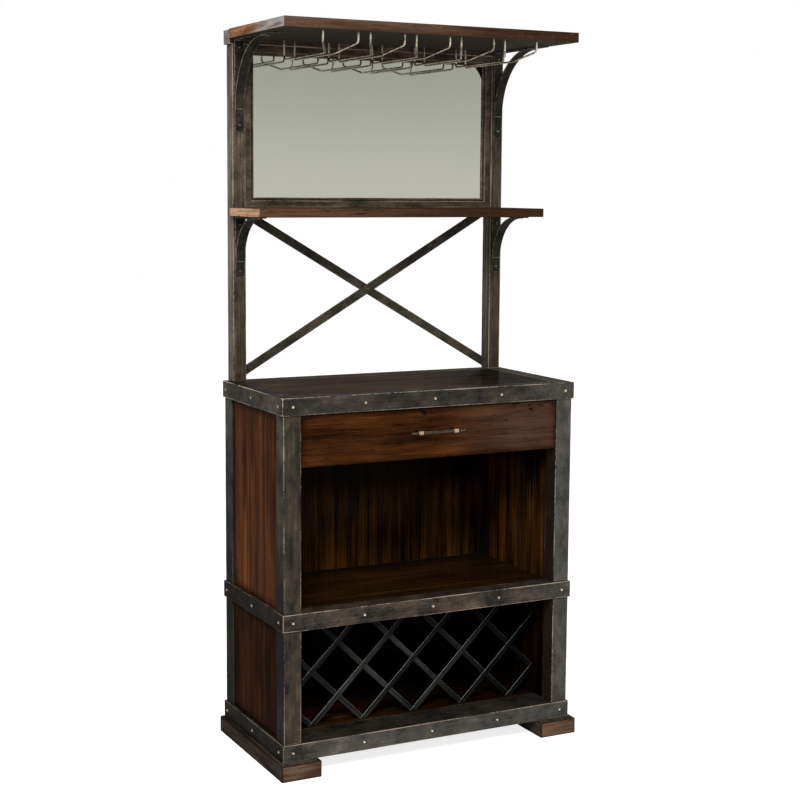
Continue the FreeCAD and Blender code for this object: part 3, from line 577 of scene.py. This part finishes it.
# INNER is a stain darkened as painted shade inside the bays; its copies below are painted shade at other
# levels
INNER = ((0.003, 0.0012, 0.0004), (0.021, 0.0088, 0.0021), (0.056, 0.0222, 0.0046), (0.100, 0.039, 0.009))
OUTER_BACK = (0.034, 0.019, 0.011)
SLAT_TOP_SHADE = (0.29, 0.385, 0.9)
PLANK = wood("plank_stain", *REDDISH, (0.20, 0.10, 0.05), coat=0.035, knots=0.35, worn_share=0.12, border_darkness=0.7,
             gain=3.0)
# The low storey's side planks: the same stain darkened to a third, as painted shade
SHADED_LOWER_PLANK = wood("shaded_lower_plank_stain", *levels(REDDISH, 0.34), (0.10, 0.05, 0.025), coat=0.02, knots=0.35,
                   worn_share=0.1, border_darkness=0.7, gain=3.0)
INNER_PLANK = wood("shaded_inner_plank_stain", *levels(INNER, 1.25), (0.08, 0.04, 0.02), coat=0.02, knots=0.5,
                   worn_share=0.1, gain=3.6, shaded=(0.73, 0.83, 0.9))
BACK_PLANK = wood("shaded_back_plank_stain", *levels(INNER, 1.5), (0.08, 0.04, 0.02), coat=0.02, knots=0.5,
                  worn_share=0.1, gain=3.2, shaded=(0.62, 0.73, 0.92), turned=(BACK, 0.7, OUTER_BACK))
LOWER_INNER_PLANK = wood("shaded_lower_inner_stain", *levels(INNER, 0.3), (0.05, 0.025, 0.012), coat=0.0,
                         knots=0.4, worn_share=0.1)
BLACK_PANEL = wood("black_stain", (0.002, 0.0016, 0.0014), (0.005, 0.004, 0.003), (0.009, 0.007, 0.005),
                   (0.014, 0.010, 0.008), (0.03, 0.02, 0.014), shine=0.55, coat=0.0, worn_share=0.1,
                   turned=(BACK, 0.85, OUTER_BACK))
# The drawer's front turns greyer towards its right-hand end as painted sheen
DRAWER = wood("drawer_stain", (0.014, 0.0042, 0.0010), (0.042, 0.0134, 0.0032), (0.068, 0.0220, 0.0052),
              (0.108, 0.0370, 0.0088), (0.10, 0.05, 0.025), coat=0.03, gloss=0.3, grain=(2.6, 40.0, 150.0),
              gain=3.4, knots=1.0, worn_share=0.3, border_darkness=0.7, right=(0.0, 0.30, 0.8, (0.050, 0.0270, 0.0170)))
# The counter's deck and the low storey's deck darken towards the right-hand end as painted shade
DECK = wood("deck_stain", (0.013, 0.008, 0.005), (0.038, 0.021, 0.011), (0.062, 0.033, 0.016),
            (0.062, 0.036, 0.019), (0.08, 0.06, 0.04), shine=0.35, coat=0.036, gloss=0.1, worn_share=0.15,
            right=(-0.05, 0.32, 0.85, (0.008, 0.0085, 0.006)))
BAY_DECK = wood("bay_deck_stain", (0.007, 0.003, 0.001), (0.019, 0.0080, 0.002), (0.034, 0.014, 0.004),
                (0.055, 0.022, 0.007), (0.06, 0.04, 0.02), shine=0.35, coat=0.25, gloss=0.1, worn_share=0.1)
LOWER_DECK = wood("lower_deck_stain", (0.005, 0.002, 0.0006), (0.023, 0.0090, 0.0022), (0.056, 0.020, 0.0045),
                  (0.110, 0.041, 0.009), (0.06, 0.04, 0.02), shine=0.4, coat=0.015, gloss=0.2, worn_share=0.1,
                  right=(-0.30, 0.0, 0.8, (0.008, 0.0035, 0.0015)))
# Shelves: undersides and right-hand ends darker as painted shade, left ends' end grain with painted light
SHELF = wood("shelf_stain", (0.034, 0.017, 0.010), (0.088, 0.049, 0.031), (0.128, 0.072, 0.046),
             (0.175, 0.105, 0.070), (0.050, 0.032, 0.022), shine=0.36, coat=0.03,
             grain=(3.0, 60.0, 190.0), knots=0.6, worn_share=0.7, ticks=(0.6, (0.36, 0.27, 0.20)), edges=1.75,
             ends=(LEFT, (0.480, 0.245, 0.125), (0.500, 0.450, 0.420)),
             turned=(DOWN, 0.95, (0.045, 0.044, 0.032)), right=(-0.36, 0.46, 0.95, (0.034, 0.0145, 0.0065)))
MID_SHELF = wood("mid_shelf_stain", (0.030, 0.014, 0.007), (0.085, 0.043, 0.022), (0.128, 0.062, 0.031),
                 (0.200, 0.088, 0.040), (0.040, 0.024, 0.015), shine=0.36, coat=0.03,
                 grain=(2.6, 50.0, 180.0), knots=0.8, worn_share=0.7, ticks=(0.35, (0.28, 0.20, 0.14)),
                 edges=1.75, ends=(LEFT, (0.800, 0.480, 0.290), (0.800, 0.480, 0.290)),
                 turned=(DOWN, 0.95, (0.035, 0.016, 0.009)),
                 right=(-0.46, 0.25, 0.95, (0.033, 0.0150, 0.0070)))
RUNNER = wood("runner_stain", (0.016, 0.011, 0.009), (0.050, 0.035, 0.028), (0.088, 0.060, 0.046),
              (0.140, 0.096, 0.072), (0.020, 0.013, 0.009), shine=0.45, coat=0.03, knots=0.6, worn_share=0.85,
              grain=(2.4, 40.0, 150.0), gain=3.2, edges=1.5,
              ends=(FRONT, (0.165, 0.097, 0.062), (0.165, 0.097, 0.062)))
# Rising slats: upper faces black, darker rightwards and upwards, as painted shade; lit edges a painted
# highlight
SLAT = wood("slat_paint", (0.009, 0.0102, 0.0095), (0.0265, 0.0295, 0.0270), (0.052, 0.0565, 0.0505),
            (0.090, 0.092, 0.082), (0.62, 0.58, 0.50), coat=0.03, gloss=0.3, knots=0.3, worn_share=0.9,
            edges=1.55, gain=5.0, turned=((-0.7, 0, 0.7), 0.95, (0.0006, 0.0006, 0.0006)),
            right=(-0.30, 0.25, 0.9, (0.0035, 0.0045, 0.0042)), lit=(-0.5, -0.7, 0.5), shaded=SLAT_TOP_SHADE)
# Falling slats: a darker copy as painted shade, their top edges a painted highlight
FALLING_SLAT = wood("shaded_falling_slat_paint", (0.008, 0.0088, 0.0082), (0.0200, 0.0220, 0.0200),
                    (0.039, 0.042, 0.038), (0.066, 0.068, 0.060), (0.42, 0.40, 0.34), coat=0.03, gloss=0.3,
                    knots=0.3, worn_share=0.8, edges=1.8, lit=(0.5, -0.7, 0.5), gain=4.8,
                    right=(-0.20, 0.25, 0.95, (0.0030, 0.0040, 0.0037)), shaded=SLAT_TOP_SHADE)
# Rear lattice: near black, as painted shade
SHADED_REAR_SLAT = wood("shaded_rear_slat_paint", (0.001, 0.001, 0.001), (0.0025, 0.0025, 0.0025), (0.005, 0.005, 0.005),
                 (0.009, 0.009, 0.008), (0.03, 0.026, 0.02), coat=0.0, knots=0.3, worn_share=0.3)
BOX_WOOD = wood("box_wood", (0.30, 0.185, 0.095), (0.42, 0.275, 0.15), (0.50, 0.34, 0.20), (0.58, 0.42, 0.26),
                (0.6, 0.45, 0.3), shine=0.45, coat=0.3, gloss=0.3, worn_share=0.3, gain=1.6)

# Metals and glass
BAR = dark_metal("black_iron", (0.048, 0.042, 0.033), (0.080, 0.064, 0.046), (0.40, 0.35, 0.27), coat=0.07)
BRACKET = dark_metal("bracket_iron", (0.024, 0.022, 0.017), (0.044, 0.036, 0.026), (0.56, 0.52, 0.45),
                     coat=0.05, edges=1.26)
BRONZE = plain_metal("rack_bronze", (0.44, 0.40, 0.31), (0.13, 0.112, 0.085), 0.28, 60.0)
BRASS = plain_metal("aged_brass", (0.74, 0.66, 0.52), (0.11, 0.080, 0.050), 0.30, 260.0, crown=True)
SCREW = plain_metal("screw_heads", (0.17, 0.145, 0.115), (0.045, 0.038, 0.03), 0.34, 260.0, crown=True)
COPPER = plain_metal("copper_collar", (0.44, 0.29, 0.19), (0.20, 0.115, 0.07), 0.32, 300.0)
PULL = plain_metal("pull_bronze", (0.060, 0.049, 0.036), (0.026, 0.020, 0.014), 0.36, 120.0)
ZINC = plain_metal("slide_zinc", (0.62, 0.63, 0.64), (0.46, 0.47, 0.47), 0.36, 90.0)
MIRROR = mirror_silver("mirror_silver")
BACKING = hardboard("backing_board")


def shell(*names):
    """The frame's solids of those nodes as one welded mesh with whole flat faces."""
    bm = bmesh.new()
    for name in names:
        bm.from_mesh(nodes[name].data)
    bmesh.ops.remove_doubles(bm, verts=bm.verts, dist=WELD)
    bmesh.ops.dissolve_limit(bm, angle_limit=FLAT, verts=bm.verts, edges=bm.edges)
    return bm


def islands(bm):
    """The mesh's separate solids, each as a list of its vertices."""
    found = []
    seen = set()
    for first in bm.verts:
        if first in seen:
            continue
        island = []
        waiting = [first]
        seen.add(first)
        while waiting:
            vert = waiting.pop()
            island.append(vert)
            for edge in vert.link_edges:
                other = edge.other_vert(vert)
                if other not in seen:
                    seen.add(other)
                    waiting.append(other)
        found.append(island)
    return found


def corners(verts):
    """Lowest and highest corner of some vertices."""
    return (Vector([min(v.co[k] for v in verts) for k in range(3)]),
            Vector([max(v.co[k] for v in verts) for k in range(3)]))


def solid_boxes(node):
    """The box of each separate solid in a node of the frame."""
    bm = shell(node)
    boxes = [corners(island) for island in islands(bm)]
    bm.free()
    return sorted(boxes, key=lambda pair: tuple(pair[0]))


def add_box(bm, low, high):
    """Adds a box between two corners."""
    made = bmesh.ops.create_cube(bm, size=1.0)["verts"]
    for vert in made:
        vert.co = Vector([low[k] if vert.co[k] < 0 else high[k] for k in range(3)])


def weld_mitres(bm, plane):
    """Turns mitred members into one ring: drops the faces where they meet and joins their rims."""
    inner = [face for face in bm.faces if all(abs(face.normal[k]) > MITRE_LEAN for k in plane)]
    bmesh.ops.delete(bm, geom=inner, context="FACES_ONLY")
    bmesh.ops.remove_doubles(bm, verts=bm.verts, dist=WELD)


def slice_along(bm, axis, step):
    """Cuts the mesh across the axis into about equal lengths, each about as long as the step."""
    places = [vert.co.dot(axis) for vert in bm.verts]
    low, high = min(places), max(places)
    count = max(1, round((high - low) / step))
    for k in range(1, count):
        at = low + (high - low) * k / count
        bmesh.ops.bisect_plane(bm, geom=bm.verts[:] + bm.edges[:] + bm.faces[:], dist=WELD,
                               plane_co=axis * at, plane_no=axis)


def soften(bm, kind, axes):
    """Slices, rounds the sharp edges, rings the flat faces and lets the worn edges wander inwards."""
    edge_width, ring_width, wander, step = (size * MM for size in SOFTNESS[kind])
    for axis in axes:
        slice_along(bm, axis, step)
    round_face = bm.faces.layers.int.new("round")
    sharp = [edge for edge in bm.edges if len(edge.link_faces) == 2 and edge.calc_face_angle() > SHARP]
    rounded = bmesh.ops.bevel(bm, geom=sharp, offset=edge_width, offset_type="OFFSET", segments=2,
                              profile=0.5, affect="EDGES", clamp_overlap=True)
    for face in rounded["faces"]:
        face[round_face] = 1
    flat = [face for face in bm.faces if face[round_face] == 0]
    bmesh.ops.inset_region(bm, faces=flat, thickness=ring_width, depth=0.0, use_even_offset=True,
                           use_boundary=True)
    wear = bm.verts.layers.float.new("wear")
    bm.normal_update()
    shifts = []
    for vert in bm.verts:
        worn = any(face[round_face] == 1 for face in vert.link_faces)
        vert[wear] = 1.0 if worn else 0.0
        if worn:
            bite = 0.5 + 0.5 * noise.noise(vert.co / WANDER_LENGTH)
            shifts.append((vert, vert.normal * (-wander * bite)))
    for vert, shift in shifts:
        vert.co += shift


def write_grain(bm, basis):
    """Each solid's own coordinates, along the grain first, moved by chance so that no two boards match."""
    layer = bm.verts.layers.float_vector.new("grain")
    turn = Matrix(basis)
    for island in islands(bm):
        shift = Vector([chance.uniform(-GRAIN_SHIFT, GRAIN_SHIFT) for _ in range(3)])
        for vert in island:
            vert[layer] = turn @ vert.co + shift


def write_shade(bm, boxes, width):
    """How far each point is from the border of the panel that it belongs to, as a share of the width."""
    layer = bm.verts.layers.float.new("shade")
    for vert in bm.verts:
        low, high = min(boxes, key=lambda pair: (vert.co - (pair[0] + pair[1]) / 2).length)
        spans = [high[k] - low[k] for k in range(3)]
        thin = spans.index(min(spans))
        gap = min(min(vert.co[k] - low[k], high[k] - vert.co[k]) for k in range(3) if k != thin)
        vert[layer] = min(1.0, max(0.0, gap / width))


def finish_piece(bm, name, material, replaced, body="cabinet"):
    """The mesh as a smooth piece that rides its body, in place of nodes of the frame."""
    mesh = bpy.data.meshes.new(name)
    bm.to_mesh(mesh)
    bm.free()
    mesh.materials.append(material)
    mesh.polygons.foreach_set("use_smooth", [True] * len(mesh.polygons))
    piece = bpy.data.objects.new(name, mesh)
    bpy.context.scene.collection.objects.link(piece)
    weighted = piece.modifiers.new("even_normals", "WEIGHTED_NORMAL")
    weighted.keep_sharp = True
    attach(piece, body)
    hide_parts(*replaced)


def boards(name, replaced, kind, grain, material, body="cabinet"):
    """Softened copies of the frame's solids, in place of them."""
    bm = shell(*replaced)
    soften(bm, kind, [BASES[grain][0]])
    write_grain(bm, BASES[grain])
    finish_piece(bm, name, material, replaced, body)


def split_widths(total, count):
    """Random plank widths that add up to the total."""
    shares = [1 + chance.uniform(-WIDTH_SPREAD, WIDTH_SPREAD) for _ in range(count)]
    return [total * share / sum(shares) for share in shares]


def planks(name, node, kind, grain, count, material, dark_border_width=None):
    """A panel of parallel planks, each with its own edges and grain; dark_border_width is how wide its darker
    border is.
    """
    bm = bmesh.new()
    boxes = solid_boxes(node)
    along = "xyz".index(grain)
    for low, high in boxes:
        spans = [high[k] - low[k] for k in range(3)]
        across = max((k for k in range(3) if k != along), key=lambda k: spans[k])
        at = low[across]
        for width in split_widths(spans[across], count):
            plank_low, plank_high = low.copy(), high.copy()
            plank_low[across] = at
            at += width
            plank_high[across] = at
            add_box(bm, plank_low, plank_high)
    soften(bm, kind, [BASES[grain][0]])
    write_grain(bm, BASES[grain])
    if dark_border_width:
        write_shade(bm, boxes, dark_border_width)
    finish_piece(bm, name, material, [node])


def ring(name, replaced, kind, plane, material):
    """Mitred members as a single painted ring; the plane is the pair of axes that it lies in."""
    bm = shell(*replaced)
    weld_mitres(bm, plane)
    soften(bm, kind, [(X, Y, Z)[k] for k in plane])
    write_grain(bm, BASES["x"])
    finish_piece(bm, name, material, replaced)


def cabinet():
    """Bands, decks, runners, posts and panels of the low cabinet."""
    for deck, stain in (("bottom", LOWER_DECK), ("middle", BAY_DECK), ("counter", DECK)):
        border = [f"{deck}_front_rail", f"{deck}_back_rail", f"{deck}_side_rails"]
        ring(f"{deck}_band", border, "band", (0, 1), BAND_PAINTS[deck])
        planks(f"{deck}_deck_boards", f"{deck}_panel", "deck", "x", PLANKS["deck"], stain)
    boards("runners", ["left_runner", "right_runner"], "runner", "y", RUNNER)
    for storey, outer, inner in (("lower", SHADED_LOWER_PLANK, LOWER_INNER_PLANK), ("upper", PLANK, INNER_PLANK)):
        for row, paint in (("front", POST_PAINT), ("back", BACK_POST_PAINT)):
            boards(f"{storey}_{row}_corner_posts", [f"{storey}_{row}_posts"], "post", "z", paint)
        planks(f"{storey}_side_planks", f"{storey}_side_panels", "plank", "z", PLANKS["side"], outer,
               SIDE_DARK_BORDER)
        planks(f"{storey}_inner_planks", f"{storey}_liners", "plank", "z", PLANKS["side"], inner)
    planks("upper_back_planks", "upper_back_panel", "plank", "z", PLANKS["back"], BACK_PLANK)
    planks("lower_back_planks", "lower_back_panel", "plank", "z", PLANKS["back"], BLACK_PANEL)


def lattices():
    """The lattices' slats, each with its grain along its own slope."""
    for plane, rising_paint, falling_paint in (("front", SLAT, FALLING_SLAT), ("rear", SHADED_REAR_SLAT, SHADED_REAR_SLAT)):
        for lean, sign, paint in (("rising", 1, rising_paint), ("falling", -1, falling_paint)):
            node = f"{plane}_lattice_{lean}_slats"
            bm = shell(node)
            slope = Vector((SLAT_RUN, 0, sign * SLAT_RISE)).normalized()
            side = Vector((-slope.z, 0, slope.x))
            soften(bm, "slat", [slope])
            write_grain(bm, (slope, side, Y))
            finish_piece(bm, f"{plane}_{lean}_lattice", paint, [node])


def drawer():
    """The drawer's stained front, darker along its border, and the bare boards of its box."""
    low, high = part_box("drawer_front")
    bm = bmesh.new()
    add_box(bm, low, high)
    soften(bm, "drawer", [X, Z])
    write_grain(bm, BASES["x"])
    write_shade(bm, [(low, high)], DRAWER_DARK_BORDER)
    finish_piece(bm, "drawer_face", DRAWER, ["drawer_front"], "drawer")
    for node, grain in (("drawer_left_side", "y"), ("drawer_right_side", "y"), ("drawer_back", "x"),
                        ("drawer_bottom", "x")):
        boards(node + "_board", [node], "box", grain, BOX_WOOD, "drawer")


def hutch():
    """Uprights, rails, shelves, the mirror's frame, and the brace, straps and brackets of flat bar."""
    boards("hutch_uprights", ["left_upright", "right_upright"], "post", "z", UPRIGHT_PAINT)
    boards("hutch_cap", ["top_back_rail"], "post", "x", CAP_PAINT)
    boards("hutch_mid_rail", ["mid_back_rail"], "post", "x", UPRIGHT_PAINT)
    boards("top_shelf_board", ["top_shelf"], "shelf", "x", SHELF)
    boards("mid_shelf_board", ["mid_shelf"], "shelf", "x", MID_SHELF)
    ring("mirror_border", ["mirror_frame"], "post", (0, 2), MIRROR_PAINT)
    for node in ("brace_rising", "brace_falling"):
        boards(node + "_bar", [node], "bar", "x", BAR)
    boards("strap_bars", ["hutch_straps"], "bar", "z", BAR)
    for shelf in ("top", "mid"):
        for side in ("left", "right"):
            node = f"{shelf}_{side}_bracket"
            boards(node + "_bar", [node], "bracket", "z", BRACKET)


def lathe(bm, base, axis, profile, segments, wear=None):
    """Turns a profile of (radius, height) pairs round an axis; each pair may carry its own wear."""
    layer = bm.verts.layers.float.get("wear") or bm.verts.layers.float.new("wear")
    side = axis.orthogonal().normalized()
    other = axis.cross(side)
    rings = []
    marks = []
    for k, (radius, height) in enumerate(profile):
        centre = base + axis * height
        mark = wear[k] if wear else 0.0
        if radius == 0:
            verts = [bm.verts.new(centre)]
        else:
            verts = [bm.verts.new(centre + (side * math.cos(turn) + other * math.sin(turn)) * radius)
                     for turn in (2 * math.pi * j / segments for j in range(segments))]
        rings.append(verts)
        marks += [(vert, mark) for vert in verts]
    for low, high in zip(rings, rings[1:]):
        for j in range(segments):
            following = (j + 1) % segments
            corner = [low[j % len(low)], low[following % len(low)],
                      high[following % len(high)], high[j % len(high)]]
            unique = [vert for n, vert in enumerate(corner) if vert not in corner[:n]]
            bm.faces.new(unique)
    for vert, mark in marks:
        vert[layer] = mark


def heads(name, node, material, brim, dimple):
    """Turned heads in place of plain domes; brim is how wide the dome is, as a share of the foot's radius."""
    bm = bmesh.new()
    bm.verts.layers.float.new("wear")
    source = shell(node)
    source.normal_update()
    for island in islands(source):
        members = set(island)
        faces = [face for face in source.faces if face.verts[0] in members]
        base_face = max(faces, key=lambda face: face.calc_area())
        axis = -base_face.normal
        base = base_face.calc_center_median()
        rise = max(vert.co.dot(axis) for vert in island) - base.dot(axis)
        radius = math.sqrt(base_face.calc_area() / math.pi)
        dome = brim * radius
        profile = [(0, 0), (radius, 0), (radius, FOOT_RISE * rise), (dome, FLANGE_RISE * rise)]
        wear = [0, 0, FOOT_WEAR, FLANGE_WEAR]
        for k in range(1, DOME_STEPS):
            turn = math.pi / 2 * k / DOME_STEPS
            up = math.sin(turn)
            profile.append((dome * math.cos(turn), (FLANGE_RISE + (1 - FLANGE_RISE) * up) * rise))
            wear.append(DOME_FOOT_WEAR + (1 - DOME_FOOT_WEAR) * up)
        if dimple:
            profile += [(across * radius, height * rise) for across, height, _ in DIMPLE]
            wear += [mark for _, _, mark in DIMPLE]
        else:
            profile.append((0, rise))
            wear.append(1.0)
        lathe(bm, base, axis, profile, HEAD_SIDES, wear)
    source.free()
    write_grain(bm, BASES["x"])
    bmesh.ops.recalc_face_normals(bm, faces=bm.faces)
    finish_piece(bm, name, material, [node])


def sized(shares, radius, length):
    """A profile's shares of a radius and a length, in metres."""
    return [(across * radius, place * length) for across, place in shares]


def turned_piece(name, node, material, axis, segments, turnings):
    """A piece of the drawer, made of solids that are turned round the axis, each (base, profile)."""
    bm = bmesh.new()
    for base, profile in turnings:
        lathe(bm, base, axis, profile, segments)
    write_grain(bm, BASES["x"])
    finish_piece(bm, name, material, [node], "drawer")


def pull():
    """The bar pull: a rod with rounded tips and a thicker grip, two beaded collars, and flared stems."""
    low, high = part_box("pull_bar")
    centre = (low + high) / 2
    half = (high.x - low.x) / 2
    grip = (high.z - low.z) / 2
    rod = ROD_RADIUS
    collars = solid_boxes("pull_collars")
    reach = collars[1][0].x - centre.x
    shoulder = [(rod, half - reach), (EASED * grip, half - reach), (grip, half - reach + SHOULDER)]
    barrel = [(EASED * grip, half - 0.5 * reach), (WAIST * grip, half)]
    one_side = sized(TIP, rod, rod) + shoulder + barrel
    other_side = [(radius, 2 * half - height) for radius, height in reversed(one_side[:-1])]
    rods = [(Vector((low.x, centre.y, centre.z)), one_side + other_side)]
    turned_piece("pull_rod", "pull_bar", PULL, X, PULL_SIDES, rods)
    rings = []
    for first, last in collars:
        width = last.x - first.x
        beads = sized(BEADS, (last.z - first.z) / 2, width)
        rings.append((Vector((first.x, centre.y, centre.z)), [(rod, 0), *beads, (rod, width)]))
    turned_piece("pull_rings", "pull_collars", COPPER, X, PULL_SIDES, rings)
    stems = []
    for first, last in solid_boxes("pull_posts"):
        middle = (first + last) / 2
        stem = sized(STEM, (last.x - first.x) / 2, last.y - first.y)
        stems.append((Vector((middle.x, last.y, middle.z)), stem))
    turned_piece("pull_stems", "pull_posts", PULL, -Y, STEM_SIDES, stems)


def kept_meshes():
    """Materials of the pieces that keep the frame's own mesh."""
    for node, material in (("mirror_glass", MIRROR), ("mirror_backing", BACKING), ("stemware_wires", BRONZE),
                           ("pull_screws", ZINC), ("slide_cabinet_members", ZINC),
                           ("slide_middle_members", ZINC), ("slide_drawer_members", ZINC)):
        nodes[node].data.materials.clear()
        nodes[node].data.materials.append(material)


def stage():
    """A plain white floor that keeps the object's shadow, and an even white surround."""
    bm = bmesh.new()
    bmesh.ops.create_grid(bm, x_segments=1, y_segments=1, size=FLOOR_HALF)
    mesh = bpy.data.meshes.new("floor")
    bm.to_mesh(mesh)
    bm.free()
    p = Paint("floor_white")
    p.set(Base_Color=FLOOR_WHITE, Roughness=0.9, Emission_Color=(1.0, 1.0, 1.0),
          Emission_Strength=p.times(seen_rays(p.tree), FLOOR_GLOW), Specular_IOR_Level=0.0)
    mesh.materials.append(p.material)
    floor = bpy.data.objects.new("floor", mesh)
    bpy.context.scene.collection.objects.link(floor)
    world = bpy.data.worlds.new("surround")
    bpy.context.scene.world = world
    world.use_nodes = True
    tree = world.node_tree
    level = tree.nodes.new("ShaderNodeMapRange")
    tree.links.new(seen_rays(tree), level.inputs[0])
    level.inputs[3].default_value = WORLD_LEVEL
    level.inputs[4].default_value = 1.0
    background = tree.nodes["Background"]
    background.inputs[0].default_value = (1, 1, 1, 1)
    tree.links.new(level.outputs[0], background.inputs[1])


def lamp(name, spot, power):
    """A round lamp that looks at the middle of the object."""
    data = bpy.data.lights.new(name, "AREA")
    data.shape = "DISK"
    data.size = LAMP_WIDTH
    data.energy = power
    item = bpy.data.objects.new(name, data)
    item.location = spot
    item.rotation_euler = (Vector(LAMP_TARGET) - Vector(spot)).to_track_quat("-Z", "Y").to_euler()
    bpy.context.scene.collection.objects.link(item)


def camera():
    """The photograph's viewpoint; the focal length, the width and the middle's row are in pixels."""
    place = Vector((-2.076, -4.074, 1.600))
    heading, tilt, roll = math.radians(26.98), math.radians(-6.52), math.radians(0.40)
    focal, frame_width, centre_row = 1596.8, 800.0, 370.0
    look = Vector((math.sin(heading) * math.cos(tilt), math.cos(heading) * math.cos(tilt), math.sin(tilt)))
    right = look.cross(Z).normalized()
    up = right.cross(look)
    right, up = right * math.cos(roll) + up * math.sin(roll), up * math.cos(roll) - right * math.sin(roll)
    data = bpy.data.cameras.new("view")
    data.sensor_width = 36.0
    data.lens = focal / frame_width * data.sensor_width
    data.shift_y = (centre_row - frame_width / 2) / frame_width
    item = bpy.data.objects.new("view", data)
    turn = Matrix((right, up, -look)).transposed()
    item.matrix_world = Matrix.Translation(place) @ turn.to_4x4()
    bpy.context.scene.collection.objects.link(item)
    bpy.context.scene.camera = item


cabinet()
lattices()
drawer()
hutch()
heads("round_rivets", "band_rivets", BRASS, brim=0.90, dimple=False)
heads("screw_heads", "hutch_screws", SCREW, brim=0.94, dimple=True)
pull()
kept_meshes()
stage()
for lamp_name, lamp_spot, lamp_power in LAMPS:
    lamp(lamp_name, lamp_spot, lamp_power)
camera()
bpy.context.scene.view_settings.view_transform = "Standard"
